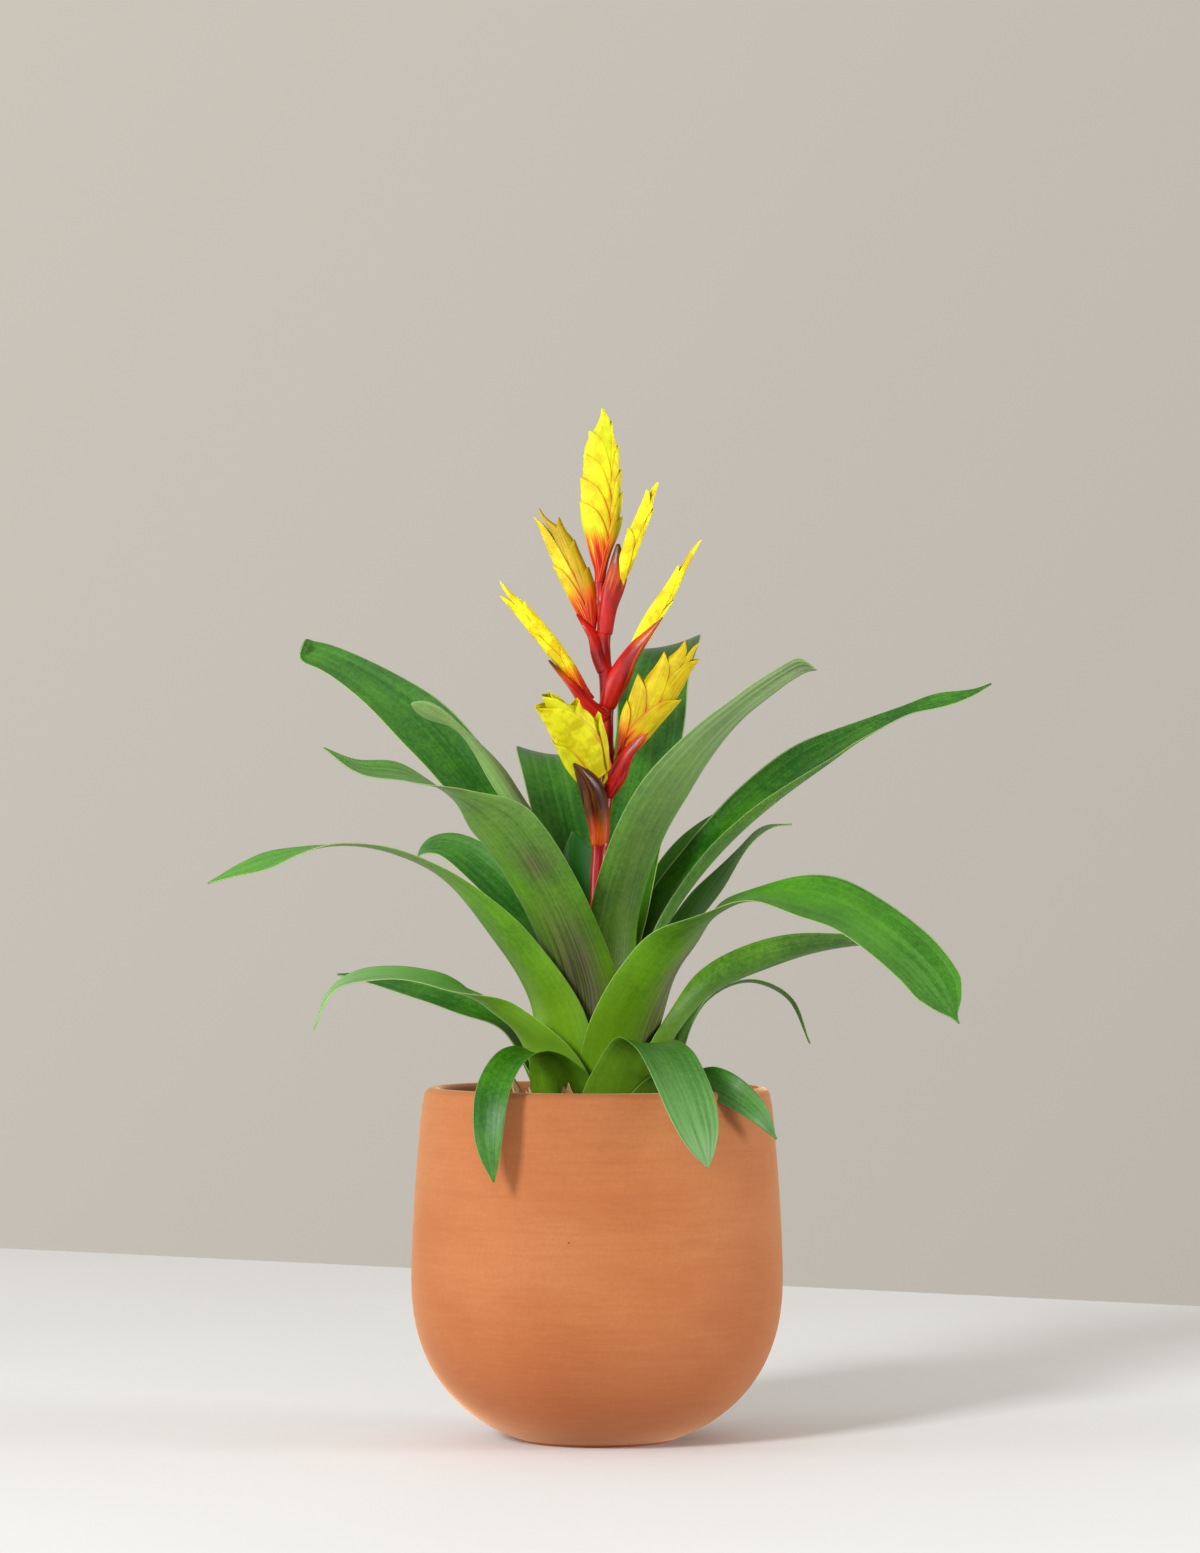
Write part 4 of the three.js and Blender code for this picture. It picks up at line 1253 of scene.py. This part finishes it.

# A bract is its side, where it starts and ends on the spike's length, how far out its tip is, and
# how far past the middle its margin reaches, in millimetres. The lowest bract comes first.
# Mustard, for the left and the right side, is the colour of old bracts and also painted shade on spikes
# or sides that lie in shade.
SPIKE_TABLE = [
    dict(name="spike_top", foot=(1.2, -0.5, 346.2), tip=(2.4, -4.0, 417.0),
         facing=(0.15, -1.0, 0.0), left=8.4, right=7.6, ridge=-3.4, thick=3.4, foot_size=2.3,
         red_to=0.32, peak=0.5, tip_power=(3.4, 3.2), green=0.6, bracts=[(RIGHT, 0.0, 0.38, 8.8, 1.4),
         (LEFT, 0.0, 0.46, 8.8, 1.6), (RIGHT, 0.06, 0.52, 8.8, 0.8), (LEFT, 0.14, 0.595, 8.9, 1.4),
         (RIGHT, 0.22, 0.65, 8.2, 0.8), (LEFT, 0.28, 0.73, 7.6, 1.4), (RIGHT, 0.36, 0.79, 6.8, 0.6),
         (LEFT, 0.42, 0.865, 5.6, 1.2), (RIGHT, 0.52, 0.93, 3.6, 0.4), (LEFT, 0.55, 1.0, 0.6, 3.4)]),
    dict(name="spike_upper_right", foot=(6.4, -2.0, 337.0), tip=(24.4, -9.0, 386.4),
         facing=(0.5, -1.0, 0.0), left=4.6, right=2.4, ridge=0.4, thick=1.7, red_to=0.12,
         tip_power=(4.0, 4.0), bracts=[(LEFT, 0.0, 0.60, 5.0, 1.2), (RIGHT, 0.1, 0.80, 2.0, 1.2),
         (LEFT, 0.2, 0.92, 3.0, 1.4), (RIGHT, 0.4, 1.0, 0.4, 1.6)]),
    dict(name="spike_upper_left", foot=(-1.6, 1.0, 323.6), tip=(-24.7, 9.0, 376.7),
         facing=(-0.2, -1.0, 0.0), left=2.9, right=9.6, ridge=-3.6, thick=2.2, red_to=0.40,
         mustard_and_shade=(0.35, 0.85), peak=0.4, tip_power=(5.0, 4.0), bracts=[(LEFT, 0.0, 0.58, 3.2, 0.3),
         (RIGHT, 0.0, 0.47, 10.2, 0.5), (LEFT, 0.14, 0.96, 2.2, 0.6), (RIGHT, 0.16, 0.69, 9.4, 0.5),
         (RIGHT, 0.34, 0.88, 7.4, 0.5), (RIGHT, 0.45, 1.0, 1.4, 2.2)]),
    dict(name="spike_mid_right", foot=(8.4, -2.2, 305.6), tip=(42.0, -16.0, 362.8),
         facing=(0.2, -1.0, 0.0), left=4.6, right=2.8, ridge=-0.8, thick=1.8, red_to=0.14,
         tip_power=(1.8, 1.8), bracts=[(RIGHT, 0.0, 0.60, 2.6, 1.2), (LEFT, 0.05, 0.80, 2.8, 1.6),
         (RIGHT, 0.25, 1.0, 0.3, 3.0)]),
    dict(name="spike_mid_left", foot=(-1.8, -1.6, 298.8), tip=(-39.6, -8.0, 346.4),
         facing=(-0.2, -1.0, 0.0), left=3.4, right=4.0, ridge=-0.6, thick=1.7, red_to=0.30,
         tip_power=(4.0, 2.4), bracts=[(RIGHT, 0.0, 0.40, 3.4, 2.4), (LEFT, 0.05, 0.62, 3.2, 1.2),
         (RIGHT, 0.2, 0.80, 3.0, 1.6), (LEFT, 0.3, 0.92, 3.6, 0.6), (RIGHT, 0.45, 1.0, 0.4, 2.2)]),
    dict(name="spike_lower_right", foot=(8.6, -2.4, 271.0), tip=(40.6, -15.0, 321.2),
         facing=(0.1, -1.0, 0.1), left=10.6, right=5.2, ridge=1.0, thick=2.4, red_to=0.34,
         mustard_and_shade=(0.6, 0.62), tip_power=(4.0, 4.0), bracts=[(LEFT, 0.0, 0.42, 11.6, -3.0),
         (RIGHT, 0.08, 0.615, 6.8, 4.4), (LEFT, 0.05, 0.61, 13.6, 1.0), (LEFT, 0.16, 0.83, 9.4, 3.0),
         (RIGHT, 0.3, 0.91, 4.2, 3.0), (LEFT, 0.35, 0.97, 4.8, 3.0), (RIGHT, 0.45, 1.0, 0.6, 2.0)]),
    dict(name="spike_lower_left", foot=(-0.4, -3.0, 259.6), tip=(-18.2, -37.0, 300.4),
         facing=(0.1, -1.0, 0.1), left=7.6, right=13.6, ridge=-2.4, thick=3.0, red_to=0.04, green=0.45,
         tip_power=(7.0, 1.5), bracts=[(LEFT, 0.0, 0.60, 7.4, -1.0), (RIGHT, 0.05, 0.63, 14.8, -6.5),
         (LEFT, 0.14, 0.95, 8.6, 9.5), (RIGHT, 0.2, 0.83, 9.0, 3.0), (LEFT, 0.3, 1.01, 4.2, 6.0),
         (RIGHT, 0.4, 1.02, -0.6, 3.0)]),
]
SPIKE_DEFAULTS = dict(foot_size=1.2, mustard_and_shade=(0.0, 0.0), green=0.0, peak=0.45, tip_power=(3.0, 3.0))
SPIKES = [{**SPIKE_DEFAULTS, **spike} for spike in SPIKE_TABLE]
YELLOW_THICKNESS = 0.26
RIDE = 0.5
STACK = 0.2
BLUNTNESS = 0.45


def spike_frame(spike):
    """Foot, direction, length, and the ways out of the face and to its left."""
    foot = Vector(spike["foot"])
    axis = Vector(spike["tip"]) - foot
    length = axis.length
    axis.normalize()
    front = Vector(spike["facing"])
    front = (front - axis * front.dot(axis)).normalized()
    return foot, axis, length, front, front.cross(axis)


def spike_outline(spike, side, share):
    """Half width of one side of a spike, as a share of its widest."""
    share = min(1.0, max(0.0, share))
    rising = math.sin(math.pi / 2 * min(1.0, share / spike["peak"])) ** 0.8
    past = max(0.0, share - spike["peak"]) / (1.0 - spike["peak"])
    return rising * (1.0 - past ** spike["tip_power"][0 if side == LEFT else 1]) ** 0.6


def across_bract(spike, bract, u, v):
    """Where a point of a bract is: along the spike, out to the bract's own side, and how high the
    spike is there above its middle plane."""
    side, start, end, tip_out, reach = bract
    wing = 2 * u - 1
    along = lerp(start, end, v)
    halves = {LEFT: spike["left"], RIGHT: spike["right"]}
    full = spike_outline(spike, side, along)
    least = spike["foot_size"] * (1.0 - smooth_step(along, 0.0, 0.3))
    own = max(0.3, least, halves[side] * full)
    other = max(0.3, least, halves[-side] * spike_outline(spike, -side, along))
    ridge = side * spike["ridge"] * full
    keel = lerp(own, tip_out, smooth_step(v, 0.45, 1.0))
    run = max(0.0, (v - 0.2) / 0.8)
    margin = lerp(ridge - reach, keel, 1.0 - (1.0 - run**1.5) ** BLUNTNESS)
    out = lerp(keel, margin, abs(wing))
    share = (out - ridge) / (own - ridge) if out > ridge else (ridge - out) / (other + ridge)
    height = max(least, spike["thick"] * full) * max(0.0, 1.0 - min(1.0, share) ** 2.2) ** 0.6
    return wing, along, out, height


def yellow_bract(spike, number):
    """One folded bract at its place on the spike."""
    foot, axis, length, front, leftwards = spike_frame(spike)
    bract = spike["bracts"][number]
    side, end = bract[0], bract[2]
    layer = STACK * (len(spike["bracts"]) - number)

    def place(u, v):
        wing, along, out, height = across_bract(spike, bract, u, v)
        height += layer * smooth_step(v, 0.0, 0.3) + RIDE * v
        height *= min(1.0, abs(wing) * 4.0)
        depth = math.copysign(height, wing)
        return foot + axis * length * along + leftwards * side * out + front * depth

    def values(u, v):
        wing, along, _, _ = across_bract(spike, bract, u, v)
        return {
            "red": 1.0 - smooth_step(along, 0.0, spike["red_to"] * 1.3),
            "mustard_and_shade": spike["mustard_and_shade"][0 if side == LEFT else 1], "seed": number * 1.9,
            "rim": smooth_step(abs(wing), 0.86, 1.0) * (1.0 - smooth_step(along, 0.35, 0.75)),
            "fresh_green": spike["green"] * (1.0 if number < 2 or end > 0.99 else 0.35),
        }

    sheet = new_sheet("bract", 14, 14, place, values)
    sheet.data.materials.append(yellow_skin)
    thicken(sheet, YELLOW_THICKNESS)
    return sheet


print("yellow bracts:", sum(len(spike["bracts"]) for spike in SPIKES))

# %% [markdown]
# ## Yellow skin
# The bracts are a strong waxy yellow with fine veins along them. Towards the foot of a spike they
# turn orange and red, and a thin orange line often marks the margin; on the lower part of a spike
# that line is also painted shade where one bract lies over the next. Older spikes are mustard
# coloured, with brownish veins, and the same mustard is also painted shade on spikes, or sides of
# spikes, that lie in shade. A little light goes through them.

# %% Yellow material
YELLOW = palette(
    warm=(204, 180, 0), bright=(238, 228, 30), ochre=(190, 150, 4), vein=(204, 160, 4),
    green=(180, 196, 22), aged=(146, 112, 4), aged_pale=(194, 164, 10), aged_vein=(150, 86, 12),
    orange=(214, 96, 10), red=(172, 20, 10), rim=(200, 92, 20),
)


def yellow_material():
    material, tree, shader, place = start_material("bract_yellow")
    veins = drawn_out(place, 26.0, 1.6, 3.0, 0.5)
    clouds = grain(place.outputs["Object"], 150.0, 4.0)
    spots = grain(place.outputs["Object"], 420.0, 3.0)
    mustard_and_shade = attribute(tree, "mustard_and_shade")
    fresh = paint(YELLOW["warm"], [
        (clouds, 0.38, 0.62, 1.0, YELLOW["bright"]), (spots, 0.54, 0.68, 0.35, YELLOW["ochre"]),
        (veins, 0.52, 0.68, 0.4, YELLOW["vein"]),
    ])
    fresh = blend(attribute(tree, "fresh_green"), fresh, YELLOW["green"])
    # The mustard colour also serves as painted shade on spikes, or sides of spikes, that lie in shade.
    aged = paint(YELLOW["aged"], [(veins, 0.35, 0.65, 1.0, YELLOW["aged_pale"])])
    vein_line = times(ease(veins, 0.58, 0.72), ease(mustard_and_shade, 0.3, 1.0, 0.0, 0.6))
    tint = blend(vein_line, blend(mustard_and_shade, fresh, aged), YELLOW["aged_vein"])
    pushed = times(attribute(tree, "red"), ease(veins, 0.3, 0.7, 0.5, 1.5))
    tint = paint(tint, [
        (pushed, 0.12, 0.5, 1.0, YELLOW["orange"]), (pushed, 0.35, 0.8, 1.0, YELLOW["red"]),
    ])
    # The orange rim line on the lower margins is also painted shade where one bract lies over the next.
    finish_shader(
        shader, blend(attribute(tree, "rim"), tint, YELLOW["rim"]), Roughness=0.5,
        Specular_IOR_Level=0.2, Subsurface_Weight=0.12, Subsurface_Radius=(1.0, 0.7, 0.1),
        Subsurface_Scale=0.0015,
    )
    relief(shader, veins, 0.00012, 0.6)
    return material


yellow_skin = yellow_material()


def make_spike(spike):
    """All bracts of a spike, joined."""
    parts = [yellow_bract(spike, number) for number in range(len(spike["bracts"]))]
    made = join(spike["name"] + "_bracts", parts)
    finish_piece(made, "yellow_bract", spike["name"])
    return made


yellow_spikes = [make_spike(spike) for spike in SPIKES]
print("spike faces:", {spike.name: len(spike.data.polygons) for spike in yellow_spikes})
